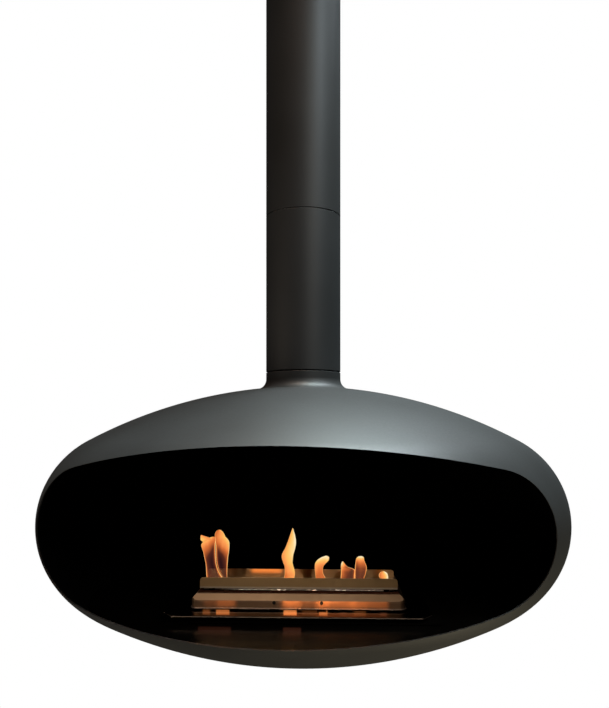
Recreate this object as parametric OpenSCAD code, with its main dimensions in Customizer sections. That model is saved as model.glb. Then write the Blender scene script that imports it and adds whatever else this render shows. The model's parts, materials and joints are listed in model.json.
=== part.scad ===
// Hanging fireplace: a flattened spun-steel pod with a wide mouth, carried by a
// round pole from the ceiling, with a lift-out liquid-fuel burner on its hearth.
// Millimetres. The origin is the centre of the ceiling plate's top face, +Z is up
// and the mouth looks along -Y. The pod turns about the pole on a thrust bearing.

/* [Pod] */
// Outside diameter of the pod
pod_d = 900; // [860:5:960]
// Height of the crown above the widest line
pod_rise = 231; // [220:1:245]
// Depth of the bowl below the widest line
pod_drop = 234; // [222:1:250]
// Radius of the rolled side, in the section
pod_side_r = 156; // [148:1:162]
// Thickness of the spun sheet
shell_t = 3; // [2:0.5:4]

/* [Neck] */
// Height of the neck's end above the widest line
neck_rise = 255.5; // [252:0.5:275]
// Radius of the hollow blend from the neck to the crown
neck_blend_r = 18; // [12:1:20]
// Thickness of the hub plate welded into the neck
hub_t = 10; // [8:1:12]
// Recess of the hub plate below the neck's end, and of the bearing plate in the pole
plate_recess = 2; // [1:0.5:4]

/* [Mouth] */
// Half the width of the mouth, in front view
mouth_half_w = 389; // [370:1:395]
// Height of the mouth's top edge above the widest line
mouth_up = 134; // [124:1:138]
// Depth of the lip below the widest line
mouth_down = 126; // [120:1:127]
// Radius of the mouth's rounded ends
mouth_end_r = 101; // [88:1:108]
// Height of the mouth's rounded ends above the widest line
mouth_mid = 1; // [0:1:8]

/* [Pole] */
// Outside diameter of the pole
pole_d = 132; // [126:1:138]
// Wall of the pole
pole_t = 3; // [2:0.5:4]
// Length of the lower pole
lower_pole_l = 274; // [200:1:400]
// Length of the upper pole
upper_pole_l = 600; // [400:10:1200]
// Open joint between the two poles
joint_gap = 1.5; // [0.5:0.5:3]
// Open joint between the lower pole and the turning neck
swivel_gap = 2; // [1:0.5:4]
// Gap between the ceiling plate's underside and the upper pole
pole_head_gap = 6; // [6:1:12]

/* [Pole joint] */
// Length of the sleeve inside the two poles
sleeve_l = 140; // [120:5:200]
// Wall of the sleeve and of the ceiling spigot
sleeve_t = 5; // [4:0.5:8]
// Clearance round the sleeve and the spigot
sleeve_clear = 0.1; // [0.05:0.05:0.3]
// Distance of the joint screws from the joint
joint_screw_z = 35; // [20:1:50]
// Angle of the joint screws to either side of the back
joint_screw_angle = 25; // [15:1:40]
// Shank radius of the joint screws
joint_screw_r = 3; // [2.5:0.5:4]
// Head radius of the joint screws
joint_head_r = 5.6; // [5:0.1:8]
// Depth of the countersunk heads
joint_head_h = 2.6; // [2:0.1:2.9]

/* [Ceiling] */
// Diameter of the ceiling plate
plate_d = 200; // [190:5:215]
// Thickness of the ceiling plate
plate_t = 6; // [5:1:9]
// Pitch circle diameter of the ceiling holes
bolt_pcd = 160; // [155:1:170]
// Radius of the ceiling holes
bolt_hole_r = 4.5; // [3:0.5:6]
// Number of ceiling holes
bolt_count = 4; // [3:1:6]
// Length of the spigot below the ceiling plate
spigot_l = 110; // [90:5:140]
// Leg of the weld between the spigot and the ceiling plate
weld_leg = 4; // [2:0.5:5]
// Depth of the spigot screws below the upper pole's end
spigot_screw_z = 33; // [20:1:40]
// Shank radius of the spigot screws
spigot_screw_r = 4; // [3:0.5:5]
// Clearance between a screw and the hole that it passes
screw_clear = 0.2; // [0.1:0.1:0.4]

/* [Ceiling cover] */
// Diameter of the cover
cover_d = 230; // [224:2:280]
// Height of the cover's bell
cover_h = 62; // [58:1:80]
// Wall of the cover
cover_t = 1.5; // [1:0.5:2.5]
// Gap between the cover and the ceiling
cover_gap = 1; // [0.5:0.5:3]
// Radius of the bend at the cover's lower edge
cover_edge_r = 8; // [4:1:12]
// Radial thickness of the clamp collar
collar_t = 9; // [7:1:14]
// Height of the clamp collar
collar_h = 14; // [12:1:20]
// Radial clearance between the collar and the pole
collar_clear = 0.3; // [0.3:0.1:0.6]
// Radius of the three grub screws
grub_r = 2.5; // [2:0.5:3]

/* [Swivel] */
// Radius of the spindle where it carries the nuts
spindle_r = 12; // [11:0.5:13]
// Radius of the spindle in the hub plate
spindle_seat_r = 16; // [15:0.5:18]
// Radius of the spindle's flange
spindle_flange_r = 28; // [24:1:34]
// Thickness of the spindle's flange
spindle_flange_t = 8; // [6:1:10]
// Thickness of the bearing plate welded into the pole
bearing_plate_t = 12; // [10:1:16]
// Radial wall of the plain bush
bush_t = 5; // [3:0.5:6]
// Running clearance of the spindle
spindle_clear = 0.05; // [0.02:0.01:0.1]
// Radius of the bearing balls
ball_r = 4; // [3.5:0.25:4.25]
// Radius of the circle on which the balls run
ball_circle_r = 20; // [19.5:0.5:21.5]
// Number of balls
ball_count = 12; // [8:1:13]
// Thickness of each bearing washer
race_t = 5; // [4:0.5:6]
// Radial width of each bearing washer outside the ball circle
race_rim_w = 7; // [6:0.25:9]
// Open height between the two bearing washers
race_space = 4.4; // [4.2:0.1:5]
// Clearance round each ball
ball_clear = 0.3; // [0.25:0.05:0.4]
// Thickness of the ball cage
cage_t = 2.4; // [2:0.1:3]
// Width across the corners of the spindle nut
nut_d = 42; // [40:1:48]
// Height of the spindle nut
nut_h = 14; // [10:1:18]
// Height of the lock nut
lock_nut_h = 8; // [6:1:12]

/* [Hearth] */
// Depth of the hearth's top face below the widest line
hearth_down = 131; // [131:1:140]
// Thickness of the hearth plate
hearth_t = 3; // [2:0.5:5]
// Gap between the hearth plate and the bowl
hearth_gap = 1.5; // [1:0.5:4]
// Width of each bracket
bracket_w = 40; // [30:1:60]
// Reach of each bracket under the hearth
bracket_l = 34; // [30:1:50]
// Sheet thickness of the brackets
bracket_t = 3; // [2:0.5:4]
// Depth of each bracket's web
bracket_h = 20; // [14:1:30]
// Shank radius of the hearth screws
hearth_screw_r = 2.5; // [2:0.5:3]

/* [Heat shield] */
// Width of the heat shield
shield_w = 371; // [360:1:400]
// Depth of the heat shield
shield_d = 240; // [230:5:260]
// Thickness of the heat shield
shield_t = 1.5; // [1:0.5:3]
// Height of the pressed dimples that it stands on
shield_stand = 1.5; // [1:0.5:3]
// Offset of the heat shield to the right
shield_x = 27; // [0:1:30]

/* [Burner base] */
// Width of the base plate
base_w = 400; // [390:5:420]
// Depth of the base plate
base_d = 260; // [255:5:280]
// Thickness of the base plate
base_t = 2; // [1.5:0.5:3]
// Distance of the base plate's centre in front of the pole's axis
base_forward = 109; // [95:1:112]
// Offset of the burner to the right
burner_x = 7; // [-10:1:15]
// Turn of the burner and the heat shield, which stand loose on the hearth
burner_turn = 4; // [-6:0.5:6]
// Width of the cut-off corners
base_corner_w = 15; // [8:1:20]
// Depth of the cut-off corners
base_corner_d = 22; // [10:1:28]
// Height of the feet
foot_h = 7; // [5:1:10]
// Radius of the feet
foot_r = 9; // [6:1:12]

/* [Burner box] */
// Width of the deck at its lower edge
deck_w = 326; // [318:1:336]
// Depth of the deck at its lower edge
deck_d = 196; // [194:1:206]
// Height of the deck's top above the base plate
deck_h = 25.2; // [24:0.1:32]
// Height above the base plate where the deck's upright skirt bends into its slope
deck_bend = 14.8; // [14:0.1:16]
// How far each side of the deck slopes in above the bend
deck_lean = 9; // [6:0.5:10]
// Radius of the deck's upright corners
deck_corner_r = 10; // [5:1:14]
// Sheet thickness of the deck and the reservoir
deck_t = 1.5; // [1:0.5:2]
// Gap between the deck's lip and the base plate
deck_gap = 2.6; // [1.5:0.1:4]
// Thickness of the deck's turned-out lip
lip_t = 1.2; // [1:0.1:2]
// Reach of the deck's turned-out lip
lip_w = 1.5; // [1:0.5:3]
// Distance from the base plate's front edge to the deck's lip
deck_setback = 37; // [30:1:40]
// Distance of the deck screws from the middle
deck_screw_x = 36; // [20:1:60]
// Radius of the deck screws' heads
deck_head_r = 2.6; // [2:0.1:3.5]
// Width of the reservoir
tank_w = 290; // [284:1:296]
// Depth of the reservoir
tank_d = 160; // [150:1:166]
// Height of the ceramic wool in the reservoir
wool_h = 14; // [8:1:16]
// Thickness of the perforated sheet on the wool
mesh_t = 1; // [0.5:0.5:2]

/* [Flame slot] */
// Length of the flame slot
slot_w = 264; // [240:1:268]
// Width of the flame slot, front to back
slot_d = 58; // [40:1:60]
// Distance from the deck's front lip to the slot's middle
slot_back = 55.5; // [51:0.5:58]
// Length of the flame guard
guard_w = 304; // [300:1:308]
// Depth of the flame guard, outside its upright flanges
guard_d = 75; // [73:0.5:80]
// Height of the upright flanges
guard_h = 17; // [12:0.5:22]
// Sheet thickness of the flame guard
guard_t = 1.5; // [1:0.5:2]
// Height of the guard above the deck, where the shutter passes
guard_gap = 3.7; // [3:0.1:5]
// Radius of the flanges' top corners
guard_corner_r = 5; // [2:0.5:8]
// Radius of the spacers under the guard
spacer_r = 4; // [3:0.5:4]
// Distance of the spacers from the slot's end
spacer_out = 12; // [11.5:0.5:13]

/* [Shutter] */
// Thickness of the shutter
shutter_t = 1.5; // [1:0.5:2]
// Overlap of the shutter past the slot's front edge and ends
shutter_lap = 5; // [3:0.5:5.5]
// Reach of the closed shutter behind the guard
shutter_behind = 4; // [3:0.5:6]
// Distance from open to closed
shutter_travel = 70; // [68:1:80]
// Clearance under the shutter
shutter_clear = 0.1; // [0.1:0.05:0.3]
// Height of the shutter's turned-up rear edge
shutter_lip_h = 5; // [3:0.5:8]
// Width of the pull tab
tab_w = 30; // [20:1:60]
// Reach of the pull tab behind the shutter
tab_l = 18; // [14:1:24]
// Radius of the hole in the pull tab
tab_hole_r = 5; // [3:0.5:6]

/* [Hidden] */
$fn = 96;
pod_fn = 240;
blend_fn = 120;

graphite = "#3f4244";
soot_black = "#141414";
polished_steel = "#b9b5ad";
brushed_steel = "#9a9892";
zinc = "#8f9396";
bronze = "#a97c45";
wool_white = "#d8d4cb";

// Tangent arcs are made to cross by this much, so that they join without a sliver.
arc_cross = 0.005;

// Pod: heights are counted from its widest line.
pod_r = pod_d / 2;
pole_r = pole_d / 2;
pole_bore_r = pole_r - pole_t;
pod_side_x = pod_r - pod_side_r;

// The radius of an arc over the middle that is tangent to two side arcs.
function crown_r(side_x, side_r, height) =
    (side_x * side_x + height * height - side_r * side_r) / (2 * (height - side_r));

crown_out_r = crown_r(pod_side_x, pod_side_r, pod_rise);
bowl_out_r = crown_r(pod_side_x, pod_side_r, pod_drop);
bowl_centre_z = bowl_out_r - pod_drop;
bowl_meets_side_z = -bowl_centre_z * pod_side_r / (bowl_out_r - pod_side_r);

// Radius of the bowl at a height below the widest line, set in by a wall.
function bowl_r(z, wall) = z < bowl_meets_side_z
    ? sqrt(pow(bowl_out_r - wall, 2) - pow(bowl_centre_z - z, 2))
    : pod_side_x + sqrt(pow(pod_side_r - wall, 2) - z * z);

// Levels, from the ceiling down.
upper_pole_top_z = -plate_t - pole_head_gap;
upper_pole_z = upper_pole_top_z - upper_pole_l;
lower_pole_top_z = upper_pole_z - joint_gap;
lower_pole_z = lower_pole_top_z - lower_pole_l;
neck_top_z = lower_pole_z - swivel_gap;
equator_z = neck_top_z - neck_rise;
joint_mid_z = upper_pole_z - joint_gap / 2;
sleeve_r = pole_bore_r - sleeve_clear;
thread_clear = 0.03;
spigot_head_r = 7;
spigot_head_h = 4;
joint_screw_angles = [90 - joint_screw_angle, 90 + joint_screw_angle];
grub_angles = [30, 150, 270];
cover_top_z = -cover_gap;
cover_low_z = cover_top_z - cover_h;
collar_bore_r = pole_r + collar_clear;

// Swivel levels.
neck_bore_r = pole_r - shell_t;
hub_top_z = neck_top_z - plate_recess;
hub_z = hub_top_z - hub_t;
bearing_plate_z = lower_pole_z + plate_recess;
race_z = bearing_plate_z + bearing_plate_t;
ball_z = race_z + race_t + race_space / 2;
upper_race_z = race_z + race_t + race_space;
nut_z = upper_race_z + race_t;
lock_nut_z = nut_z + nut_h;
thread_end = 4;
spindle_top_z = lock_nut_z + lock_nut_h + thread_end;
bush_bore_r = spindle_r + spindle_clear;
bush_r = bush_bore_r + bush_t;
race_out_r = ball_circle_r + race_rim_w;
race_spindle_gap = 1;
pocket_clear = 0.15;
cage_rim = 1.2;

// Hearth and burner levels, from the widest line.
hearth_z = -hearth_down;
hearth_under_z = hearth_z - hearth_t;
hearth_r = bowl_r(hearth_under_z, shell_t) - hearth_gap;
bracket_angles = [-25, 35, 90, 145, 205];
bracket_in_r = hearth_r - bracket_l;
hearth_screw_circle_r = hearth_r - bracket_l / 2;
hearth_head_r = 5;
hearth_head_h = 2.2;
shield_z = hearth_z + shield_stand;
shield_corner_r = 3;
dimple_r = 6;
dimple_inset = 30;
foot_z = shield_z + shield_t;
foot_inset_x = 60;
foot_inset_y = 40;
foot_bevel = 1;
base_z = foot_z + foot_h;
base_top_z = base_z + base_t;
base_front_y = -base_forward - base_d / 2;
shield_front_y = base_front_y + 1;

// Burner box, from the base plate's top face.
deck_front_y = base_front_y + deck_setback;
deck_mid_y = deck_front_y + deck_d / 2;
deck_slope = deck_lean / (deck_h - deck_bend);
deck_head_edge = 0.3;
deck_screw_z = deck_bend - deck_head_r - deck_head_edge;
deck_screw_r = 1.5;
deck_screw_l = 5;
deck_head_h = 1.2;
clip_w = 14;
clip_t = 2;
clip_h = 13;
clip_foot = 9;
slot_y = deck_front_y + slot_back;
slot_corner_r = 3;
tank_h = deck_h - deck_t;
tank_corner_r = 4;
wool_side = 5;
mesh_hole = 8.6;
mesh_bar = 3.4;
guard_z = deck_h + guard_gap;
spacer_x = slot_w / 2 + spacer_out;
spacer_y = slot_d / 2 - spacer_r;
guard_screw_r = 2;
guard_head_r = 3.5;
guard_head_h = 1.8;
shutter_w = slot_w + 2 * shutter_lap;
shutter_z = deck_h + shutter_clear;
shutter_front_y = slot_y - slot_d / 2 - shutter_lap + shutter_travel;
shutter_back_y = slot_y + guard_d / 2 + shutter_behind + shutter_travel;
rivet_r = 1.5;
rivet_head_r = 2.5;
rivet_head_h = 0.8;
rivet_x = tab_w / 2 - 6;

// ---------- helpers ----------

module tube(outer_r, wall, length) {
    difference() {
        cylinder(r = outer_r, h = length);
        translate([0, 0, -1]) cylinder(r = outer_r - wall, h = length + 2);
    }
}

// A flat eye shape of tangent arcs, with its end arcs centred on the X axis.
module eye(half_w, end_r, up, down, fn) {
    side_x = half_w - end_r;
    up_r = crown_r(side_x, end_r, up);
    down_r = crown_r(side_x, end_r, down);
    reach = 1.02 * end_r;
    up_x = side_x + reach * side_x / (up_r - end_r);
    up_y = reach * (up_r - up) / (up_r - end_r);
    down_x = side_x + reach * side_x / (down_r - end_r);
    down_y = reach * (down_r - down) / (down_r - end_r);
    for (s = [-1, 1]) translate([s * side_x, 0]) circle(r = end_r, $fn = fn);
    intersection() {
        translate([0, up - up_r]) circle(r = up_r - arc_cross, $fn = 2 * fn);
        translate([0, down_r - down]) circle(r = down_r - arc_cross, $fn = 2 * fn);
        polygon([
            [side_x, 0], [up_x, up_y], [up_x, up + 1], [-up_x, up + 1], [-up_x, up_y],
            [-side_x, 0], [-down_x, -down_y], [-down_x, -down - 1], [down_x, -down - 1],
            [down_x, -down_y]]);
    }
}

// Half section of the pod's outside, set in by a wall: side, crown, bowl and neck.
module pod_half_section(wall, top_z) {
    blend_x = pole_r + neck_blend_r;
    crown_centre_z = pod_rise - crown_out_r;
    blend_z = crown_centre_z + sqrt(pow(crown_out_r + neck_blend_r, 2) - blend_x * blend_x);
    foot = (crown_out_r - wall - 1) / (crown_out_r + neck_blend_r);
    foot_x = foot * blend_x;
    foot_z = crown_centre_z + foot * (blend_z - crown_centre_z);
    intersection() {
        eye(pod_r - wall, pod_side_r - wall, pod_rise - wall, pod_drop - wall, pod_fn);
        translate([0, -pod_r]) square([pod_r + 1, pod_d]);
    }
    translate([0, pod_rise / 2]) square([pole_r - wall, top_z - pod_rise / 2]);
    difference() {
        polygon([
            [0, pod_rise / 2], [foot_x, pod_rise / 2], [foot_x, foot_z], [blend_x, blend_z],
            [0, blend_z]]);
        translate([blend_x, blend_z])
            circle(r = neck_blend_r + wall + 2 * arc_cross, $fn = blend_fn);
    }
}

// The pod as one skin: a revolved wall of even thickness, with the mouth cut
// straight through its front so that the edge wraps round both sides.
module pod_shell() {
    difference() {
        rotate_extrude($fn = pod_fn) pod_half_section(0, neck_rise);
        rotate_extrude($fn = pod_fn) pod_half_section(shell_t, neck_rise + 1);
        translate([0, 0, mouth_mid]) rotate([90, 0, 0]) linear_extrude(pod_r)
            eye(mouth_half_w, mouth_end_r, mouth_up - mouth_mid, mouth_down + mouth_mid, pod_fn);
    }
}

module at_equator() {
    translate([0, 0, equator_z]) children();
}

// The burner's own frame: turned and shifted on the hearth, at the widest line's
// height, and counted from the pole's axis as if the burner stood straight.
module at_burner() {
    at_equator() translate([burner_x, -base_forward, 0]) rotate(burner_turn)
        translate([0, base_forward, 0]) children();
}

module at_base_top() {
    at_burner() translate([0, 0, base_top_z]) children();
}

// Stands its children on the pole's surface, with their +Z outwards.
module on_pole(angle, z) {
    rotate([0, 0, angle]) translate([pole_r, 0, z]) rotate([0, 90, 0]) children();
}

module round_rect(w, d, r) {
    square([w - 2 * r, d], center = true);
    square([w, d - 2 * r], center = true);
    for (x = [-1, 1], y = [-1, 1]) translate([x * (w / 2 - r), y * (d / 2 - r)]) circle(r = r);
}

// An upright face with round top corners, standing on the X axis.
module flange_face(w, h, r) {
    translate([-w / 2, 0]) square([w, h - r]);
    translate([-w / 2 + r, 0]) square([w - 2 * r, h]);
    for (s = [-1, 1]) translate([s * (w / 2 - r), h - r]) circle(r = r);
}

// ---------- ceiling and pole ----------

module ceiling_plate() {
    color(graphite) translate([0, 0, -plate_t]) difference() {
        cylinder(r = plate_d / 2, h = plate_t);
        for (i = [0 : bolt_count - 1]) rotate(45 + i * 360 / bolt_count)
            translate([bolt_pcd / 2, 0, -1]) cylinder(r = bolt_hole_r, h = plate_t + 2);
    }
}

module spigot_screw_places() {
    for (a = [0, 180]) on_pole(a, upper_pole_top_z - spigot_screw_z) children();
}

module ceiling_spigot() {
    color(graphite) difference() {
        union() {
            translate([0, 0, -plate_t - spigot_l]) tube(sleeve_r, sleeve_t, spigot_l);
            translate([0, 0, -plate_t]) rotate_extrude() polygon([
                [sleeve_r - 1, 0], [sleeve_r + weld_leg, 0], [sleeve_r, -weld_leg],
                [sleeve_r - 1, -weld_leg]]);
        }
        spigot_screw_places() translate([0, 0, -pole_r / 2])
            cylinder(r = spigot_screw_r + thread_clear, h = pole_r / 2 + 1);
    }
}

module spigot_screws() {
    shank_l = pole_t + sleeve_clear + sleeve_t + 3;
    color(zinc) spigot_screw_places() {
        translate([0, 0, -shank_l]) cylinder(r = spigot_screw_r, h = shank_l);
        difference() {
            cylinder(r = spigot_head_r, h = spigot_head_h);
            translate([0, 0, spigot_head_h / 2])
                cylinder(r = spigot_screw_r, h = spigot_head_h, $fn = 6);
        }
    }
}

module joint_screw_places(side) {
    for (a = joint_screw_angles) on_pole(a, joint_mid_z + side * joint_screw_z) children();
}

// Countersunk hole through the pole's wall.
module countersunk_hole() {
    translate([0, 0, -2 * pole_t]) cylinder(r = joint_screw_r + screw_clear, h = 3 * pole_t);
    translate([0, 0, -joint_head_h])
        cylinder(r1 = joint_screw_r + screw_clear, r2 = joint_head_r + screw_clear, h = joint_head_h);
    cylinder(r = joint_head_r + screw_clear, h = 1);
}

module upper_pole() {
    color(graphite) difference() {
        translate([0, 0, upper_pole_z]) tube(pole_r, pole_t, upper_pole_l);
        spigot_screw_places() translate([0, 0, -2 * pole_t])
            cylinder(r = spigot_screw_r + screw_clear, h = 3 * pole_t);
        joint_screw_places(1) countersunk_hole();
    }
}

module lower_pole() {
    color(graphite) difference() {
        translate([0, 0, lower_pole_z]) tube(pole_r, pole_t, lower_pole_l);
        joint_screw_places(-1) countersunk_hole();
    }
}

module joint_sleeve() {
    color(zinc) difference() {
        translate([0, 0, joint_mid_z - sleeve_l / 2]) tube(sleeve_r, sleeve_t, sleeve_l);
        for (side = [-1, 1]) joint_screw_places(side) translate([0, 0, -pole_r / 2])
            cylinder(r = joint_screw_r + thread_clear, h = pole_r / 2 + 1);
    }
}

module joint_screws() {
    shank_l = pole_t + sleeve_clear + sleeve_t;
    color(graphite) for (side = [-1, 1]) joint_screw_places(side) difference() {
        union() {
            translate([0, 0, -shank_l]) cylinder(r = joint_screw_r, h = shank_l - joint_head_h);
            translate([0, 0, -joint_head_h])
                cylinder(r1 = joint_screw_r, r2 = joint_head_r, h = joint_head_h);
        }
        translate([0, 0, -0.7 * joint_head_h])
            cylinder(r = 0.7 * joint_screw_r, h = joint_head_h, $fn = 6);
    }
}

// ---------- ceiling cover ----------

// Half section of a bell that hangs from z = 0, with a round lower edge.
module bell_half_section(r, h, edge_r) {
    translate([0, edge_r - h]) square([r, h - edge_r]);
    translate([0, -h]) square([r - edge_r, h]);
    translate([r - edge_r, edge_r - h]) circle(r = edge_r);
}

module ceiling_cover() {
    color(graphite) translate([0, 0, cover_top_z]) rotate_extrude() difference() {
        bell_half_section(cover_d / 2, cover_h, cover_edge_r);
        bell_half_section(cover_d / 2 - cover_t, cover_h - cover_t, cover_edge_r - cover_t);
        translate([0, -cover_h - 1]) square([collar_bore_r, cover_h + 2]);
    }
}

module cover_collar() {
    bevel = 1;
    color(graphite) difference() {
        translate([0, 0, cover_low_z]) rotate_extrude() polygon([
            [collar_bore_r, 0], [collar_bore_r + collar_t, 0],
            [collar_bore_r + collar_t, bevel - collar_h],
            [collar_bore_r + collar_t - bevel, -collar_h], [collar_bore_r, -collar_h]]);
        for (a = grub_angles) on_pole(a, cover_low_z - collar_h / 2)
            cylinder(r = grub_r + thread_clear, h = 3 * collar_t);
    }
}

module cover_grub_screws() {
    tip_gap = 0.05;
    grub_l = collar_clear + collar_t - 1;
    color(zinc) for (a = grub_angles) on_pole(a, cover_low_z - collar_h / 2) difference() {
        translate([0, 0, tip_gap]) cylinder(r = grub_r, h = grub_l - tip_gap);
        translate([0, 0, grub_l - grub_r]) cylinder(r = 0.6 * grub_r, h = 2 * grub_r, $fn = 6);
    }
}

// ---------- swivel ----------

module bearing_plate() {
    color(zinc) translate([0, 0, bearing_plate_z])
        tube(pole_bore_r, pole_bore_r - bush_r, bearing_plate_t);
}

module spindle_bush() {
    color(bronze) translate([0, 0, bearing_plate_z]) tube(bush_r, bush_t, bearing_plate_t);
}

// A bearing washer's section between two radii, with the groove for the balls.
module race_section(in_r, z) {
    difference() {
        translate([in_r, z]) square([race_out_r - in_r, race_t]);
        translate([ball_circle_r, ball_z]) circle(r = ball_r + ball_clear);
    }
}

module lower_bearing_washer() {
    color(polished_steel) rotate_extrude() race_section(spindle_r + race_spindle_gap, race_z);
}

module upper_bearing_washer() {
    color(polished_steel) rotate_extrude() race_section(spindle_r + thread_clear, upper_race_z);
}

module ball_places() {
    for (i = [0 : ball_count - 1]) rotate(i * 360 / ball_count)
        translate([ball_circle_r, 0, ball_z]) children();
}

module bearing_cage() {
    cage_in_r = ball_circle_r - ball_r - cage_rim;
    cage_w = 2 * (ball_r + cage_rim);
    color(bronze) difference() {
        translate([0, 0, ball_z - cage_t / 2]) tube(cage_in_r + cage_w, cage_w, cage_t);
        ball_places() cylinder(r = ball_r + pocket_clear, h = 2 * cage_t, center = true);
    }
}

module bearing_balls() {
    color(polished_steel) ball_places() sphere(r = ball_r);
}

module hex_nut(h) {
    difference() {
        cylinder(d = nut_d, h = h, $fn = 6);
        translate([0, 0, -1]) cylinder(r = spindle_r + thread_clear, h = h + 2);
    }
}

module spindle_nut() {
    color(zinc) translate([0, 0, nut_z]) hex_nut(nut_h);
}

module spindle_lock_nut() {
    color(zinc) translate([0, 0, lock_nut_z]) rotate(17) hex_nut(lock_nut_h);
}

module swivel_spindle() {
    bevel = 2;
    seat_top_z = hub_top_z + 1;
    color(zinc) {
        translate([0, 0, hub_z - spindle_flange_t])
            cylinder(r = spindle_flange_r, h = spindle_flange_t);
        translate([0, 0, hub_z]) cylinder(r = spindle_seat_r, h = seat_top_z - hub_z);
        translate([0, 0, seat_top_z]) cylinder(r = spindle_r, h = spindle_top_z - bevel - seat_top_z);
        translate([0, 0, spindle_top_z - bevel])
            cylinder(r1 = spindle_r, r2 = spindle_r - bevel, h = bevel);
    }
}

module neck_hub_plate() {
    bore_r = spindle_seat_r + thread_clear;
    color(graphite) translate([0, 0, hub_z]) tube(neck_bore_r, neck_bore_r - bore_r, hub_t);
}

// ---------- pod ----------

module pod_upper_shell() {
    color(graphite) at_equator() intersection() {
        pod_shell();
        cylinder(r = pod_d, h = pod_d);
    }
}

module pod_lower_shell() {
    color(graphite) at_equator() intersection() {
        pod_shell();
        translate([0, 0, -pod_d]) cylinder(r = pod_d, h = pod_d);
    }
}

// ---------- hearth ----------

module hearth_screw_places() {
    for (a = bracket_angles) rotate(a) translate([hearth_screw_circle_r, 0, 0]) children();
}

// Everything inside the pod's wall.
module pod_inside() {
    rotate_extrude($fn = pod_fn) intersection() {
        eye(pod_r - shell_t, pod_side_r - shell_t, pod_rise - shell_t, pod_drop - shell_t, pod_fn);
        translate([0, -pod_r]) square([pod_r, pod_d]);
    }
}

module hearth_brackets() {
    reach = bracket_l + 4 * hearth_gap + bracket_t;
    color(soot_black) at_equator() difference() {
        intersection() {
            pod_inside();
            for (a = bracket_angles) rotate(a) translate([bracket_in_r, 0, hearth_under_z]) {
                translate([0, -bracket_w / 2, -bracket_t]) cube([reach, bracket_w, bracket_t]);
                translate([0, bracket_w / 2, 0]) rotate([90, 0, 0]) linear_extrude(bracket_t) polygon([
                    [0, 0], [reach, 0], [reach, -bracket_h], [reach / 3, -bracket_h],
                    [0, -bracket_t]]);
            }
        }
        hearth_screw_places() translate([0, 0, hearth_under_z - 2 * bracket_t])
            cylinder(r = hearth_screw_r + thread_clear, h = 3 * bracket_t);
    }
}

module hearth_plate() {
    color(soot_black) at_equator() difference() {
        translate([0, 0, hearth_under_z]) cylinder(r = hearth_r, h = hearth_t, $fn = pod_fn);
        hearth_screw_places() translate([0, 0, hearth_under_z - 1])
            cylinder(r = hearth_screw_r + screw_clear, h = hearth_t + 2);
    }
}

module hearth_screws() {
    shank_l = hearth_t + bracket_t + 3;
    color(soot_black) at_equator() hearth_screw_places() translate([0, 0, hearth_z]) {
        translate([0, 0, -shank_l]) cylinder(r = hearth_screw_r, h = shank_l);
        difference() {
            cylinder(r = hearth_head_r, h = hearth_head_h);
            translate([0, 0, hearth_head_h / 2])
                cylinder(r = 0.7 * hearth_screw_r, h = hearth_head_h, $fn = 6);
        }
    }
}

module heat_shield() {
    color(soot_black) at_burner() translate([shield_x, shield_front_y + shield_d / 2, 0]) {
        translate([0, 0, shield_z]) linear_extrude(shield_t)
            round_rect(shield_w, shield_d, shield_corner_r);
        for (x = [-1, 1], y = [-1, 1])
            translate([x * (shield_w / 2 - dimple_inset), y * (shield_d / 2 - dimple_inset), hearth_z])
                cylinder(r1 = dimple_r - shield_stand, r2 = dimple_r, h = shield_stand);
    }
}

// ---------- burner ----------

module burner_base_plate() {
    x = base_w / 2;
    y = base_d / 2;
    cx = x - base_corner_w;
    cy = y - base_corner_d;
    color(polished_steel) at_burner() translate([0, -base_forward, base_z]) linear_extrude(base_t)
        polygon([[-cx, -y], [cx, -y], [x, -cy], [x, cy], [cx, y], [-cx, y], [-x, cy], [-x, -cy]]);
}

module burner_feet() {
    x = base_w / 2 - foot_inset_x;
    y = base_d / 2 - foot_inset_y;
    color(brushed_steel) at_burner() for (sx = [-1, 1], sy = [-1, 1])
        translate([sx * x, sy * y - base_forward, foot_z]) {
            cylinder(r1 = foot_r - foot_bevel, r2 = foot_r, h = foot_bevel);
            translate([0, 0, foot_bevel]) cylinder(r = foot_r, h = foot_h - foot_bevel);
        }
}

module fuel_reservoir() {
    color(brushed_steel) at_base_top() translate([0, deck_mid_y, 0]) difference() {
        linear_extrude(tank_h) round_rect(tank_w, tank_d, tank_corner_r);
        translate([0, 0, deck_t]) linear_extrude(tank_h)
            round_rect(tank_w - 2 * deck_t, tank_d - 2 * deck_t, tank_corner_r - deck_t);
    }
}

module ceramic_wool() {
    color(wool_white) at_base_top() translate([0, slot_y, deck_t]) linear_extrude(wool_h)
        square([slot_w + 2 * wool_side, slot_d + 2 * wool_side], center = true);
}

// Perforated sheet that holds the wool down: rows of square holes.
module wool_retainer() {
    pitch = mesh_hole + mesh_bar;
    nx = floor((slot_w - mesh_bar) / pitch);
    ny = floor((slot_d - mesh_bar) / pitch);
    color(brushed_steel) at_base_top() translate([0, slot_y, deck_t + wool_h])
        linear_extrude(mesh_t) difference() {
            square([slot_w + 2 * wool_side, slot_d + 2 * wool_side], center = true);
            for (i = [0 : nx - 1], j = [0 : ny - 1])
                translate([(i - (nx - 1) / 2) * pitch, (j - (ny - 1) / 2) * pitch])
                    square(mesh_hole, center = true);
        }
}

// Mirrors its children front to back about the deck's middle, and keeps both.
module deck_front_and_back() {
    translate([0, deck_mid_y, 0]) for (m = [0, 1]) mirror([0, m, 0]) children();
}

module deck_screw_places() {
    deck_front_and_back() for (s = [-1, 1])
        translate([s * deck_screw_x, -deck_d / 2, deck_screw_z]) rotate([90, 0, 0]) children();
}

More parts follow.
